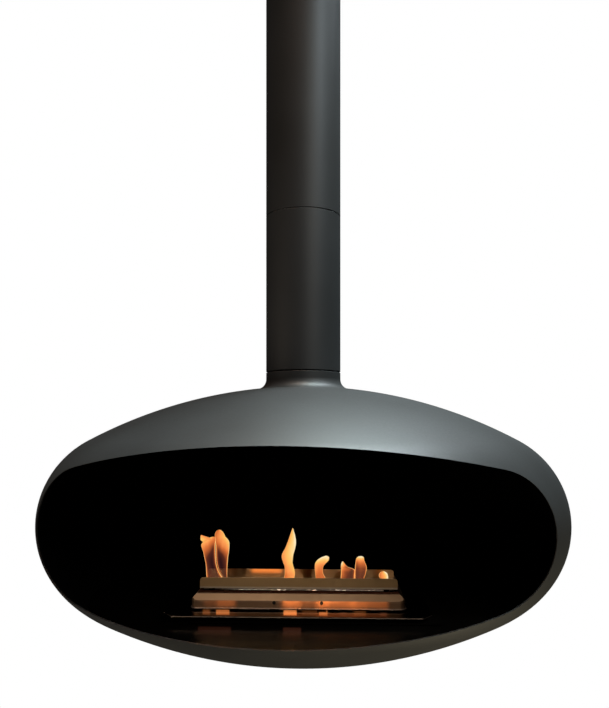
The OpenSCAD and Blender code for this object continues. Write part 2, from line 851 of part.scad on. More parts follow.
module deck_clips() {
    front = -deck_d / 2 + deck_t;
    color(soot_black) at_base_top() difference() {
        deck_front_and_back() for (s = [-1, 1]) translate([s * deck_screw_x - clip_w / 2, front, 0])
            rotate([90, 0, 90]) linear_extrude(clip_w) polygon([
                [0, 0], [0, clip_h], [clip_t, clip_h], [clip_t, clip_t], [clip_foot, clip_t],
                [clip_foot, 0]]);
        deck_screw_places() translate([0, 0, -2 * deck_screw_l])
            cylinder(r = deck_screw_r + thread_clear, h = 2 * deck_screw_l);
    }
}

// Half section across the deck's form: upright to the bend, then sloping in. The
// wall is the sheet's own thickness, and the sloping face moves in by more.
module deck_section(half, wall, low_z, high_z) {
    moved = wall * sqrt(1 + deck_slope * deck_slope);
    bend_z = deck_bend - (moved - wall) / deck_slope;
    low = half - wall;
    high = half - moved - deck_slope * (high_z - deck_bend);
    polygon([
        [-low, low_z], [low, low_z], [low, bend_z], [high, high_z], [-high, high_z],
        [-low, bend_z]]);
}

// The deck's form, set in by a wall: four sides with round corners.
module deck_form(wall, low_z, high_z) {
    intersection() {
        rotate([90, 0, 0]) linear_extrude(deck_d, center = true)
            deck_section(deck_w / 2, wall, low_z, high_z);
        rotate([90, 0, 90]) linear_extrude(deck_w, center = true)
            deck_section(deck_d / 2, wall, low_z, high_z);
        translate([0, 0, low_z]) linear_extrude(high_z - low_z)
            round_rect(deck_w - 2 * wall, deck_d - 2 * wall, deck_corner_r - wall);
    }
}

module guard_screw_places() {
    for (x = [-1, 1], y = [-1, 1]) translate([x * spacer_x, slot_y + y * spacer_y, 0]) children();
}

module burner_deck() {
    color(polished_steel) at_base_top() difference() {
        translate([0, deck_mid_y, 0]) difference() {
            union() {
                deck_form(0, deck_gap, deck_h);
                translate([0, 0, deck_gap]) linear_extrude(lip_t)
                    round_rect(deck_w + 2 * lip_w, deck_d + 2 * lip_w, deck_corner_r + lip_w);
            }
            deck_form(deck_t, deck_gap - 1, deck_h - deck_t);
        }
        translate([0, slot_y, 0]) linear_extrude(2 * deck_h) round_rect(slot_w, slot_d, slot_corner_r);
        deck_screw_places() translate([0, 0, -deck_screw_l])
            cylinder(r = deck_screw_r + screw_clear, h = 2 * deck_screw_l);
        guard_screw_places() translate([0, 0, deck_h - 2 * deck_t])
            cylinder(r = guard_screw_r + thread_clear, h = 3 * deck_t);
    }
}

module deck_screws() {
    color(soot_black) at_base_top() deck_screw_places() {
        translate([0, 0, -deck_screw_l]) cylinder(r = deck_screw_r, h = deck_screw_l);
        difference() {
            cylinder(r = deck_head_r, h = deck_head_h);
            translate([0, 0, deck_head_h / 2]) cylinder(r = deck_screw_r, h = deck_head_h, $fn = 6);
        }
    }
}

// ---------- flame guard ----------

module guard_spacers() {
    wall = spacer_r - guard_screw_r - screw_clear;
    color(brushed_steel) at_base_top() guard_screw_places()
        translate([0, 0, deck_h]) tube(spacer_r, wall, guard_gap);
}

module flame_guard() {
    color(polished_steel) at_base_top() difference() {
        translate([0, slot_y, guard_z]) {
            linear_extrude(guard_t) difference() {
                square([guard_w, guard_d], center = true);
                round_rect(slot_w, slot_d, slot_corner_r);
            }
            for (y = [-guard_d / 2 + guard_t, guard_d / 2])
                translate([0, y, 0]) rotate([90, 0, 0]) linear_extrude(guard_t)
                    flange_face(guard_w, guard_h, guard_corner_r);
        }
        guard_screw_places() translate([0, 0, guard_z - guard_t])
            cylinder(r = guard_screw_r + screw_clear, h = 3 * guard_t);
    }
}

module guard_screws() {
    shank_l = deck_t + guard_gap + guard_t;
    color(zinc) at_base_top() guard_screw_places() translate([0, 0, guard_z + guard_t]) {
        translate([0, 0, -shank_l]) cylinder(r = guard_screw_r, h = shank_l);
        difference() {
            cylinder(r = guard_head_r, h = guard_head_h);
            translate([0, 0, guard_head_h / 2])
                cylinder(r = 0.7 * guard_screw_r, h = guard_head_h, $fn = 6);
        }
    }
}

// ---------- shutter ----------

module rivet_places() {
    for (s = [-1, 1]) translate([s * rivet_x, shutter_back_y, shutter_z + shutter_t + shutter_lip_h / 2])
        rotate([-90, 0, 0]) children();
}

module shutter() {
    color(brushed_steel) at_base_top() difference() {
        translate([-shutter_w / 2, shutter_front_y, shutter_z]) {
            cube([shutter_w, shutter_back_y - shutter_front_y, shutter_t]);
            translate([0, shutter_back_y - shutter_front_y - shutter_t, 0])
                cube([shutter_w, shutter_t, shutter_t + shutter_lip_h]);
        }
        rivet_places() cylinder(r = rivet_r + thread_clear, h = 4 * shutter_t, center = true);
    }
}

module shutter_pull_tab() {
    color(brushed_steel) at_base_top() difference() {
        translate([0, shutter_back_y, shutter_z]) {
            translate([-tab_w / 2, 0, 0]) cube([tab_w, shutter_t, shutter_t + shutter_lip_h]);
            linear_extrude(shutter_t) {
                translate([-tab_w / 2, 0]) square([tab_w, tab_l - tab_w / 4]);
                translate([0, tab_l - tab_w / 4]) round_rect(tab_w, tab_w / 2, tab_w / 4 - thread_clear);
            }
        }
        translate([0, shutter_back_y + tab_l - tab_w / 4 - 1, shutter_z - 1])
            cylinder(r = tab_hole_r, h = 3 * shutter_t);
        rivet_places() cylinder(r = rivet_r + thread_clear, h = 4 * shutter_t, center = true);
    }
}

module tab_rivets() {
    color(zinc) at_base_top() rivet_places() {
        translate([0, 0, -shutter_t]) cylinder(r = rivet_r, h = 2 * shutter_t);
        for (z = [-shutter_t - rivet_head_h, shutter_t]) translate([0, 0, z])
            cylinder(r = rivet_head_r, h = rivet_head_h);
    }
}

ceiling_plate();
ceiling_spigot();
spigot_screws();
ceiling_cover();
cover_collar();
cover_grub_screws();
upper_pole();
joint_sleeve();
joint_screws();
lower_pole();
bearing_plate();
spindle_bush();
lower_bearing_washer();
bearing_cage();
bearing_balls();
upper_bearing_washer();
spindle_nut();
spindle_lock_nut();
swivel_spindle();
neck_hub_plate();
pod_upper_shell();
pod_lower_shell();
hearth_brackets();
hearth_plate();
hearth_screws();
heat_shield();
burner_base_plate();
burner_feet();
fuel_reservoir();
ceramic_wool();
wool_retainer();
deck_clips();
burner_deck();
deck_screws();
guard_spacers();
flame_guard();
guard_screws();
shutter();
shutter_pull_tab();
tab_rivets();
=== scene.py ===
# %% [markdown]
# # A hanging fireplace
# A flattened steel pod hangs from a pole on a swivel. Through its wide mouth one sees a black
# hearth with a small stainless burner, and five flames stand in the burner's slot. The exact
# solids come from the imported model. This file gives them their surfaces, and makes anew what
# needs smoother curves than the solids' facets, or what no solid can be: paint, painted shade and
# highlight, felted wool and fire. Everything is in metres, in the same place as the solids.

# %% Load the imported model
import json
import math
import bpy
import bmesh
import numpy as np
from mathutils import Matrix, Vector

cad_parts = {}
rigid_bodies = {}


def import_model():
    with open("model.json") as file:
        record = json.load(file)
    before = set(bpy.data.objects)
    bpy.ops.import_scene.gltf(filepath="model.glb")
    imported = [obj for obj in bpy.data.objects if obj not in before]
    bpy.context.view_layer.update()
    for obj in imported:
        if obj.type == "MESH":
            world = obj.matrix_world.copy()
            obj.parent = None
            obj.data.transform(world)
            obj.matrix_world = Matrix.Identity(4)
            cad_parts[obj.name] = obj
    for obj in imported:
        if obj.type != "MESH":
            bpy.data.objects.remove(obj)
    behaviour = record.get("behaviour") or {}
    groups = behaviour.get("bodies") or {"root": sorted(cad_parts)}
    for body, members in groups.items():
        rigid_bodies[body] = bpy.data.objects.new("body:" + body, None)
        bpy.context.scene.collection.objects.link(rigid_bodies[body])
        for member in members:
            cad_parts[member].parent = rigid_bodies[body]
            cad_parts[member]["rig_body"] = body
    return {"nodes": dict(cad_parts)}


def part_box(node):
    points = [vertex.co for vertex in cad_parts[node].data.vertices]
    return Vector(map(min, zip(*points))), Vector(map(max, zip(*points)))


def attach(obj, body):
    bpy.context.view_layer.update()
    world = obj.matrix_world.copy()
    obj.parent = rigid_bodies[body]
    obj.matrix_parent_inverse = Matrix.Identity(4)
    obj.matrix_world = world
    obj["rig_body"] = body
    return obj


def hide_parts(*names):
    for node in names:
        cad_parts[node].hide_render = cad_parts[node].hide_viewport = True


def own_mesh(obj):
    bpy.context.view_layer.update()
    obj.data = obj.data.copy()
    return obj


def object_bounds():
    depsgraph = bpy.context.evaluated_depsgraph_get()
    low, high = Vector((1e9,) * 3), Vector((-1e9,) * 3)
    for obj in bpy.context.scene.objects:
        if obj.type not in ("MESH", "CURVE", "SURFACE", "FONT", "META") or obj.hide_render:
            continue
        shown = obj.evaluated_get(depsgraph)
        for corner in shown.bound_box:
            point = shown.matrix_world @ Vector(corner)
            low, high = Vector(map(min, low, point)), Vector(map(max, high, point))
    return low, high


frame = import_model()
cad_low, cad_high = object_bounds()
nodes = frame["nodes"]
scene = bpy.context.scene
print("solids:", len(nodes), "box:", [round(v, 3) for v in (*cad_low, *cad_high)])

# %% Helpers that add objects, meshes, materials and nodes


def add(name, data):
    thing = bpy.data.objects.new(name, data)
    scene.collection.objects.link(thing)
    return thing


def mesh_from(shape, name, *paints):
    mesh = bpy.data.meshes.new(name)
    shape.to_mesh(mesh)
    shape.free()
    for paint in paints:
        mesh.materials.append(paint)
    return mesh


def bare_material(name):
    paint = bpy.data.materials.new(name)
    paint.use_nodes = True
    paint.node_tree.nodes.clear()
    return paint, paint.node_tree


def node_with(tree, kind, **values):
    # Makes a node and sets its inputs. An underscore stands for the blank in an input's name.
    node = tree.nodes.new(kind)
    for label, value in values.items():
        node.inputs[label.replace("_", " ")].default_value = value
    return node


def wire(value, socket):
    # The socket knows which tree it belongs to.
    socket.id_data.links.new(value, socket)


print("helpers ready")

# %% [markdown]
# ## The camera
# The photographer stood level with the mouth, a little to its right, about 1.3 m away. The
# picture shows more above the lens than below it, as a view camera with a raised front does, so
# the camera stays level and only its frame is shifted. That keeps the pole upright.

# %% Place the camera
PICTURE_W, PICTURE_H = 609, 708
FILM_MM = 36
focal_px = 750
horizon_px = 430
pole_px = 303.3
camera_turn = math.radians(6.2)
camera_away = 1.336
camera_z = -0.9906

camera_data = bpy.data.cameras.new("photo camera")
camera = add("photo camera", camera_data)
camera.location = (camera_away * math.sin(camera_turn), -camera_away * math.cos(camera_turn), camera_z)
camera.rotation_euler = (math.pi / 2, 0, camera_turn)
camera_data.sensor_width = FILM_MM
camera_data.lens = focal_px / PICTURE_H * FILM_MM
camera_data.shift_x = (PICTURE_W / 2 - pole_px) / PICTURE_H
camera_data.shift_y = (horizon_px - PICTURE_H / 2) / PICTURE_H
camera_data.clip_start = 0.02
camera_data.clip_end = 60
scene.camera = camera
print("camera at", [round(v, 3) for v in camera.location], "lens", round(camera_data.lens, 2), "mm")

# %% [markdown]
# ## The studio
# The photo has a bare white surround, and yet the paint's sides are dark: only a few soft lamps
# light it. So the white backdrop is a large dome that the camera sees and that lights nothing,
# and neither does the pale floor. Two overhead softboxes make the sheen on the pod's crown, and two
# low lamps lift its underside. A narrow lamp shines through the mouth onto the burner's steel, and
# turns with the pod.

# %% Build the backdrop and the floor
scene.view_settings.view_transform = "Standard"


def stage_piece(name, shape):
    piece = add(name, mesh_from(shape, name, white))
    return piece


white, tree = bare_material("studio white")
glow = tree.nodes.new("ShaderNodeEmission")
out = tree.nodes.new("ShaderNodeOutputMaterial")
wire(glow.outputs[0], out.inputs["Surface"])
studio_r, floor_drop = 14, 0.34
shape = bmesh.new()
bmesh.ops.create_uvsphere(shape, u_segments=48, v_segments=24, radius=studio_r)
dome = stage_piece("studio dome", shape)
for ray in ("diffuse", "glossy", "transmission", "volume_scatter", "shadow"):
    setattr(dome, "visible_" + ray, False)
shape = bmesh.new()
bmesh.ops.create_circle(shape, cap_ends=True, segments=64, radius=studio_r - 1)
floor = stage_piece("studio floor", shape)
floor.data.transform(Matrix.Translation((0, 0, cad_low.z - floor_drop)))
floor.visible_diffuse = floor.visible_glossy = floor.visible_shadow = False
print("floor", floor_drop, "m below the pod")

# %% Hang the lamps


def area_lamp(name, place, direction, size, watts, tint, opening=180):
    data = bpy.data.lights.new(name, "AREA")
    data.shape = "RECTANGLE"
    data.size, data.size_y = size
    data.energy = watts
    data.color = tint
    data.spread = math.radians(opening)
    lamp = add(name, data)
    lamp.location = place
    lamp.rotation_euler = direction.to_track_quat("-Z", "Y").to_euler()
    lamp.visible_camera = False
    return lamp


pod_middle = Vector((0, 0, -1))
for name, place, size, watts, tint in [
        ("overhead softbox", (0.4, 0.05, 1.2), (0.6, 0.6), 82, (0.79, 0.99, 1.0)),
        ("overhead warm softbox", (0, -0.35, 1.2), (0.6, 0.6), 20, (1.0, 0.6, 0.4)),
        ("softbox behind", (0.9, 0.6, 1.1), (0.6, 0.6), 21, (0.83, 0.9, 1.0)),
        ("high right softbox", (1.35, -0.78, 0.56), (0.5, 0.5), 12, (0.81, 0.92, 1.0)),
        ("right softbox", (1.11, -1.59, 0.03), (0.9, 0.9), 6.5, (1.0, 0.95, 0.85)),
        ("low left fill", (-1.63, -0.94, -1.68), (0.9, 0.7), 12, (1.0, 0.87, 0.73)),
        ("low right fill", (0.9, -0.6, -2.3), (0.8, 0.8), 15, (1.0, 0.87, 0.6))]:
    area_lamp(name, place, pod_middle - Vector(place), size, watts, tint)
place, skirt = Vector((-0.87, -1.37, -0.3)), Vector((0.07, -0.17, -1.245))
mouth_lamp = area_lamp(
    "lamp through the mouth", place, skirt - place, (0.14, 0.08), 1.35, (1.0, 0.9, 0.8), 18)
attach(mouth_lamp, "pod")
surround = bpy.data.worlds.new("studio surround")
scene.world = surround
surround.use_nodes = True
sky = surround.node_tree.nodes["Background"]
sky.inputs["Color"].default_value = (0.9, 0.95, 1.0, 1)
sky.inputs["Strength"].default_value = 0.02

# %% [markdown]
# ## Ways to make a finish
# A finish is a small chain of nodes. Each one starts from the place on the object, adds noise at
# the size that the real surface has, and sends it to colour, roughness and height. These
# helpers keep the chains short. Values that are the same everywhere stay on the shader itself.

# %% Helpers for finishes


def new_finish(name, colour, roughness, metal=0.0):
    paint = bpy.data.materials.new(name)
    paint.use_nodes = True
    tree = paint.node_tree
    shader = tree.nodes["Principled BSDF"]
    shader.inputs["Base Color"].default_value = (*colour, 1)
    shader.inputs["Roughness"].default_value = roughness
    shader.inputs["Metallic"].default_value = metal
    return paint, tree, shader


def place_on(tree, stretch=(1, 1, 1)):
    where = tree.nodes.new("ShaderNodeTexCoord")
    mapping = node_with(tree, "ShaderNodeMapping", Scale=stretch)
    wire(where.outputs["Object"], mapping.inputs["Vector"])
    return mapping.outputs["Vector"]


def grain(tree, where, scale, detail=2.0, rough=0.5):
    noise = node_with(tree, "ShaderNodeTexNoise", Scale=scale, Detail=detail, Roughness=rough)
    wire(where, noise.inputs["Vector"])
    return noise.outputs["Fac"]


def ramp(tree, value, stops):
    node = tree.nodes.new("ShaderNodeValToRGB")
    wire(value, node.inputs["Fac"])
    marks = node.color_ramp.elements
    marks[0].position, marks[0].color = stops[0][0], (*stops[0][1], 1)
    marks[1].position, marks[1].color = stops[-1][0], (*stops[-1][1], 1)
    for place, colour in stops[1:-1]:
        mark = marks.new(place)
        mark.color = (*colour, 1)
    return node.outputs["Color"]


def spread(tree, value, low, high, start=0.3, end=0.7):
    node = node_with(tree, "ShaderNodeMapRange", From_Min=start, From_Max=end, To_Min=low, To_Max=high)
    wire(value, node.inputs["Value"])
    return node.outputs["Result"]


def toned(tree, shader, noise, *stops):
    wire(ramp(tree, noise, stops), shader.inputs["Base Color"])


def maths(tree, operation, first, second=None):
    node = tree.nodes.new("ShaderNodeMath")
    node.operation = operation
    for socket, value in zip(node.inputs, (first, second)):
        if isinstance(value, (int, float)):
            socket.default_value = value
        elif value is not None:
            wire(value, socket)
    return node.outputs[0]


def height(tree, shader, value, strength, depth):
    bump = node_with(tree, "ShaderNodeBump", Strength=strength, Distance=depth)
    wire(value, bump.inputs["Height"])
    wire(bump.outputs["Normal"], shader.inputs["Normal"])


print("finish helpers ready")

# %% [markdown]
# ## Graphite powder coat
# The pod, the pole and the ceiling cover wear a matt graphite powder coat. Powder melts into a
# skin with a fine pebble, under a millimetre across, and it never has quite one tone: thin and
# thick places differ a little. Fine noise gives the pebble, wide noise the drift in tone.

# %% Make the graphite powder coat
graphite, tree, shader = new_finish("graphite powder coat", (0.028, 0.030, 0.031), 0.5)
where = place_on(tree)
toned(tree, shader, grain(tree, where, 5, 3), (0.3, (0.023, 0.024, 0.024)), (0.7, (0.034, 0.036, 0.037)))
wire(spread(tree, grain(tree, where, 260, 2), 0.475, 0.525), shader.inputs["Roughness"])
height(tree, shader, grain(tree, where, 900, 2), 0.13, 0.0002)
print(graphite.name, len(tree.nodes), "nodes")

# %% Make the bare edge of the sheet, lightened as a painted highlight
cut_edge_and_highlight, tree, shader = new_finish("graphite coat on the cut edge", (0.05, 0.05, 0.048), 0.42)
where = place_on(tree)
# The edge's lighter grey is partly the bare sheet and partly a painted highlight where light catches the
# edge.
toned(tree, shader, grain(tree, where, 120, 4), (0.35, (0.03, 0.03, 0.03)), (0.75, (0.10, 0.10, 0.095)))
height(tree, shader, grain(tree, where, 900, 2), 0.2, 0.0002)
print(cut_edge_and_highlight.name, len(tree.nodes), "nodes")

# %% [markdown]
# ## Black paint and painted shade
# Inside, the pod is painted with heat-resisting black, set darker than paint, close to no light at all,
# as painted shade for the deep inside. The hearth is the same paint where hands wipe it, so it is
# smoother there and mirrors the flames faintly.

# %% Make the two blacks
# Near-zero colour: heat-resisting black paint, darkened further as painted shade for the deep inside of
# the pod.
black_and_shade, tree, shader = new_finish("soot black paint", (0.003, 0.003, 0.003), 0.75)
shader.inputs["Specular IOR Level"].default_value = 0.12
where = place_on(tree)
drift = grain(tree, where, 9, 4)
toned(tree, shader, drift, (0.3, (0.0015, 0.0015, 0.0015)), (0.75, (0.0045, 0.0042, 0.004)))
height(tree, shader, grain(tree, where, 500, 3), 0.3, 0.0003)

satin_black, tree, shader = new_finish("satin black stove paint", (0.008, 0.007, 0.006), 0.22)
shader.inputs["Specular IOR Level"].default_value = 0.015
where = place_on(tree)
drift = grain(tree, where, 14, 4)
toned(tree, shader, drift, (0.3, (0.003, 0.0025, 0.002)), (0.75, (0.006, 0.005, 0.004)))
wire(spread(tree, grain(tree, where, 40, 4), 0.15, 0.21), shader.inputs["Roughness"])
height(tree, shader, grain(tree, where, 700, 2), 0.1, 0.0002)
print(black_and_shade.name, "and", satin_black.name)

# %% [markdown]
# ## Stainless steel
# The burner's sheet was polished with a belt along its length, which leaves fine streaks in X.
# Stretched noise makes them. Fire has drawn an olive to bronze tint over the metal, in wide soft
# patches. Where the sheet shows its raw rolled face, the streaks are shorter and duller. The
# plate under the burner was never brushed, so it mirrors what stands on it.

# %% Make the steels


def streaked_steel(name, light, dark, roughness, streak_scale, streak_depth, relief=0.12):
    paint, tree, shader = new_finish(name, light, roughness, 1.0)
    along = place_on(tree, (6, 160, 160))
    where = place_on(tree)
    tint = ramp(tree, grain(tree, where, 11, 3), [(0.3, dark), (0.7, light)])
    streak = grain(tree, along, streak_scale, 3, 0.6)
    wire(tint, shader.inputs["Base Color"])
    wire(spread(tree, streak, roughness - 0.05, roughness + 0.07), shader.inputs["Roughness"])
    height(tree, shader, streak, relief, streak_depth)
    return paint


mirror = streaked_steel(
    "mirror-rolled stainless", (0.20, 0.155, 0.125), (0.16, 0.12, 0.09), 0.07, 9, 0.00001, 0.03)
rolled = streaked_steel(
    "rolled stainless", (0.50, 0.48, 0.45), (0.38, 0.35, 0.31), 0.34, 14, 0.0001)
zinc = streaked_steel("zinc-plated steel", (0.55, 0.56, 0.57), (0.42, 0.43, 0.42), 0.36, 20, 0.00005)
ground = streaked_steel("ground bearing steel", (0.68, 0.68, 0.68), (0.60, 0.60, 0.60), 0.14, 30, 0.00002)
bronze = streaked_steel("turned bronze", (0.62, 0.40, 0.20), (0.48, 0.30, 0.14), 0.3, 25, 0.00003)
print("metals:", [metal.name for metal in (mirror, rolled, zinc, ground, bronze)])

# %% [markdown]
# ## Heat tint, painted highlight and painted shade on the deck and the guard
# The deck's slope lies just under the flames and is straw yellow: partly heat tint and partly a painted
# highlight, lighter than the skirt where it faces the light. Its flat top, between slot and guard, is
# painted near black and dull, as painted shade under the guard. Its upright skirt is a deep brown,
# partly heat tint and partly painted shade, down to the lip, which is painted grey: grey metal and partly
# a painted highlight. So is the guard's lower rim, whose very bottom edge is painted dark brown as
# painted shade over the gap. The borders wander, because heat doesn't stop at a bend.
# The base plate's sawn edge is duller than its mirror face.

# %% Tint the deck and the guard, and paint highlight and shade on them


def blended(tree, share, first, second):
    node = tree.nodes.new("ShaderNodeMix")
    node.data_type = "RGBA"
    sockets = [s for s in node.inputs if s.type == "RGBA"]
    wire(share, node.inputs["Factor"])
    for socket, value in zip(sockets, (first, second)):
        if isinstance(value, tuple):
            socket.default_value = (*value, 1)
        else:
            wire(value, socket)
    return next(s for s in node.outputs if s.type == "RGBA")


def level_of(tree, wander):
    # Height above the ground of the part's frame, with a border that wanders by so much.
    split = tree.nodes.new("ShaderNodeSeparateXYZ")
    wire(place_on(tree), split.inputs[0])
    noise = maths(tree, "SUBTRACT", grain(tree, place_on(tree, (1, 1, 2)), 28, 3), 0.5)
    return maths(tree, "ADD", split.outputs["Z"], maths(tree, "MULTIPLY", noise, wander))


deck_low, deck_high = (corner.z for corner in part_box("burner_deck"))
top_to_bend = 0.0104
bend_z = deck_high - top_to_bend
heat_tint_and_painted_light = streaked_steel(
    "straw and brown heat tint", (0.16, 0.10, 0.058), (0.13, 0.08, 0.045), 0.42, 9, 0.0001, 0.03)
tree = heat_tint_and_painted_light.node_tree
shader = tree.nodes["Principled BSDF"]
straw = shader.inputs["Base Color"].links[0].from_socket
# The slope is straw, partly a painted highlight; below the bend the skirt is darker brown, partly painted
# shade.
slope_tint_and_highlight = spread(tree, level_of(tree, 0.006), 0, 1, bend_z - 0.003, bend_z + 0.0005)
# The flat top is painted near black, dull and not metal: painted shade under the guard.
painted_shade_on_top = spread(tree, level_of(tree, 0), 0, 1, deck_high - 0.0022, deck_high - 0.0008)
# At the lip the colour is a lighter grey: grey metal and partly a painted highlight.
off_lip_highlight = spread(tree, level_of(tree, 0.0004), 0, 1, deck_low + 0.0012, deck_low + 0.0018)
tint = blended(tree, slope_tint_and_highlight, (0.085, 0.05, 0.028), straw)
tint = blended(tree, painted_shade_on_top, tint, (0.006, 0.002, 0.001))
wire(blended(tree, off_lip_highlight, (0.2, 0.155, 0.125), tint), shader.inputs["Base Color"])
wire(spread(tree, painted_shade_on_top, 1, 0), shader.inputs["Metallic"])
wire(spread(tree, painted_shade_on_top, 0.5, 0), shader.inputs["Specular IOR Level"])

guard_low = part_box("flame_guard")[0].z
guard_steel = streaked_steel(
    "belt-polished stainless, olive from heat",
    (0.36, 0.225, 0.105), (0.30, 0.185, 0.08), 0.33, 9, 0.0001, 0.02)
tree = guard_steel.node_tree
shader = tree.nodes["Principled BSDF"]
olive = shader.inputs["Base Color"].links[0].from_socket
# The lower rim is painted a lighter grey: grey metal and partly a painted highlight.
rim_grey_and_highlight = spread(tree, level_of(tree, 0.0003), 0, 1, guard_low + 0.0042, guard_low + 0.0015)
# The rim's very bottom edge is painted dark brown: painted shade over the gap to the deck.
painted_gap_shade = spread(tree, level_of(tree, 0), 0, 1, guard_low + 0.0012, guard_low + 0.0006)
tint = blended(tree, rim_grey_and_highlight, olive, (0.48, 0.39, 0.29))
wire(blended(tree, painted_gap_shade, tint, (0.10, 0.06, 0.03)), shader.inputs["Base Color"])

plate_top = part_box("burner_base_plate")[1].z
tree = mirror.node_tree
shader = tree.nodes["Principled BSDF"]
shader.inputs["Specular Tint"].default_value = (0.5, 0.46, 0.42, 1)
sheen = shader.inputs["Roughness"].links[0].from_socket
on_face = spread(tree, level_of(tree, 0), 0, 1, plate_top - 0.0003, plate_top - 0.0008)
wire(maths(tree, "ADD", sheen, maths(tree, "MULTIPLY", on_face, 0.4)), shader.inputs["Roughness"])
print(heat_tint_and_painted_light.name, "and", guard_steel.name)

# %% [markdown]
# ## Ceramic wool
# The wick of the burner is a pad of felted ceramic fibre. Its fibres lie flat in all directions,
# so two noises stretched along X and along Y make the felt, and fuel has browned it in spots.

# %% Make the wool
wool, tree, shader = new_finish("felted ceramic fibre", (0.6, 0.57, 0.5), 0.95)
fibre_x = grain(tree, place_on(tree, (120, 900, 900)), 1.0, 3)
fibre_y = grain(tree, place_on(tree, (900, 120, 900)), 1.0, 3)
felt = maths(tree, "MAXIMUM", fibre_x, fibre_y)
stain = grain(tree, place_on(tree), 25, 4)
toned(tree, shader, stain, (0.3, (0.30, 0.22, 0.14)), (0.6, (0.62, 0.58, 0.5)))
height(tree, shader, felt, 0.8, 0.0008)
print(wool.name)

# %% [markdown]
# ## Softened solids
# No real edge is a perfect corner: sheet is deburred and turned parts are broken with a file. A
# copy of each solid's mesh is merged, its flat faces joined, its sharp edges bevelled and its
# shading weighted by face. The solid itself stays untouched, and the softened copy stands for it.

# %% Helper that softens a solid


def settle(piece):
    # Turns the piece's modifiers into plain mesh, and drops them.
    graph = bpy.context.evaluated_depsgraph_get()
    ready = piece.evaluated_get(graph)
    plain = bpy.data.meshes.new_from_object(ready, preserve_all_data_layers=True, depsgraph=graph)
    piece.modifiers.clear()
    piece.data = plain
    plain.name = piece.name
    return piece


def stands_for(piece, node):
    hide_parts(node)
    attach(piece, nodes[node]["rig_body"])
    return piece


def softened(node, width, paint):
    mesh = nodes[node].data.copy()
    shape = bmesh.new()
    shape.from_mesh(mesh)
    bmesh.ops.remove_doubles(shape, verts=shape.verts, dist=1e-6)
    bmesh.ops.dissolve_limit(shape, angle_limit=math.radians(0.4), verts=shape.verts, edges=shape.edges)
    for face in shape.faces:
        face.smooth = True
        face.material_index = 0
    shape.to_mesh(mesh)
    shape.free()
    mesh.materials.clear()
    mesh.materials.append(paint)
    piece = add(node.replace("_", "-"), mesh)
    bevel = piece.modifiers.new("broken edges", "BEVEL")
    bevel.width = width
    bevel.segments = 2
    bevel.limit_method = "ANGLE"
    bevel.angle_limit = math.radians(35)
    even = piece.modifiers.new("even shading", "WEIGHTED_NORMAL")
    even.keep_sharp = True
    return stands_for(settle(piece), node)


soft_list = [
    ("ceiling_plate", 0.0005, graphite),
    ("ceiling_spigot", 0.0004, graphite),
    ("spigot_screws", 0.0003, zinc),
    ("cover_grub_screws", 0.0002, zinc),
    ("joint_sleeve", 0.0004, zinc),
    ("joint_screws", 0.0002, graphite),
    ("bearing_plate", 0.0005, zinc),
    ("spindle_bush", 0.0003, bronze),
    ("lower_bearing_washer", 0.0003, ground),
    ("upper_bearing_washer", 0.0003, ground),
    ("bearing_cage", 0.0002, bronze),
    ("spindle_nut", 0.0005, zinc),
    ("spindle_lock_nut", 0.0005, zinc),
    ("swivel_spindle", 0.0004, zinc),
    ("neck_hub_plate", 0.0005, graphite),
    ("hearth_brackets", 0.0004, satin_black),
    ("hearth_plate", 0.0005, satin_black),
    ("hearth_screws", 0.0002, satin_black),
    ("heat_shield", 0.0003, satin_black),
    ("burner_base_plate", 0.0003, mirror),
    ("burner_feet", 0.0003, rolled),
    ("fuel_reservoir", 0.0003, rolled),
    ("wool_retainer", 0.0001, rolled),
    # The deck clips get the satin black as painted shade, so their feet stay dark in the gap under the
    # deck's lip.
    ("deck_clips", 0.0002, satin_black),
    ("burner_deck", 0.0005, heat_tint_and_painted_light),
    ("deck_screws", 0.0002, satin_black),
    ("guard_spacers", 0.0002, rolled),
    ("flame_guard", 0.0004, guard_steel),
    ("guard_screws", 0.0002, zinc),
    ("shutter", 0.0003, rolled),
    ("shutter_pull_tab", 0.0002, rolled),
    ("tab_rivets", 0.0001, zinc),
]
soft_pieces = [softened(*row) for row in soft_list]
print("softened:", len(soft_pieces), "pieces,", sum(len(p.data.polygons) for p in soft_pieces), "faces")

# %% [markdown]
# ## Spinning
# The pod's halves are spun: a disc of sheet turns against a form while a roller lays it down.
# The pole, cover and collar are round as well. So one rule makes them all: a half section,
# drawn as a row of points, is carried round the axis. Geometry Nodes do it on a grid whose
# columns are the section's points and whose rows are the steps round.

# %% Build the spinning tree


def value_input(tree, label, kind):
    return tree.interface.new_socket(label, in_out="INPUT", socket_type=kind)


def finished(tree, geometry, given):
    # Shades the geometry smooth and gives it the finish.
    smooth = tree.nodes.new("GeometryNodeSetShadeSmooth")
    wire(geometry, smooth.inputs["Geometry"])
    painted = tree.nodes.new("GeometryNodeSetMaterial")
    wire(smooth.outputs[0], painted.inputs["Geometry"])
    wire(given.outputs["Finish"], painted.inputs["Material"])
    return painted.outputs[0]


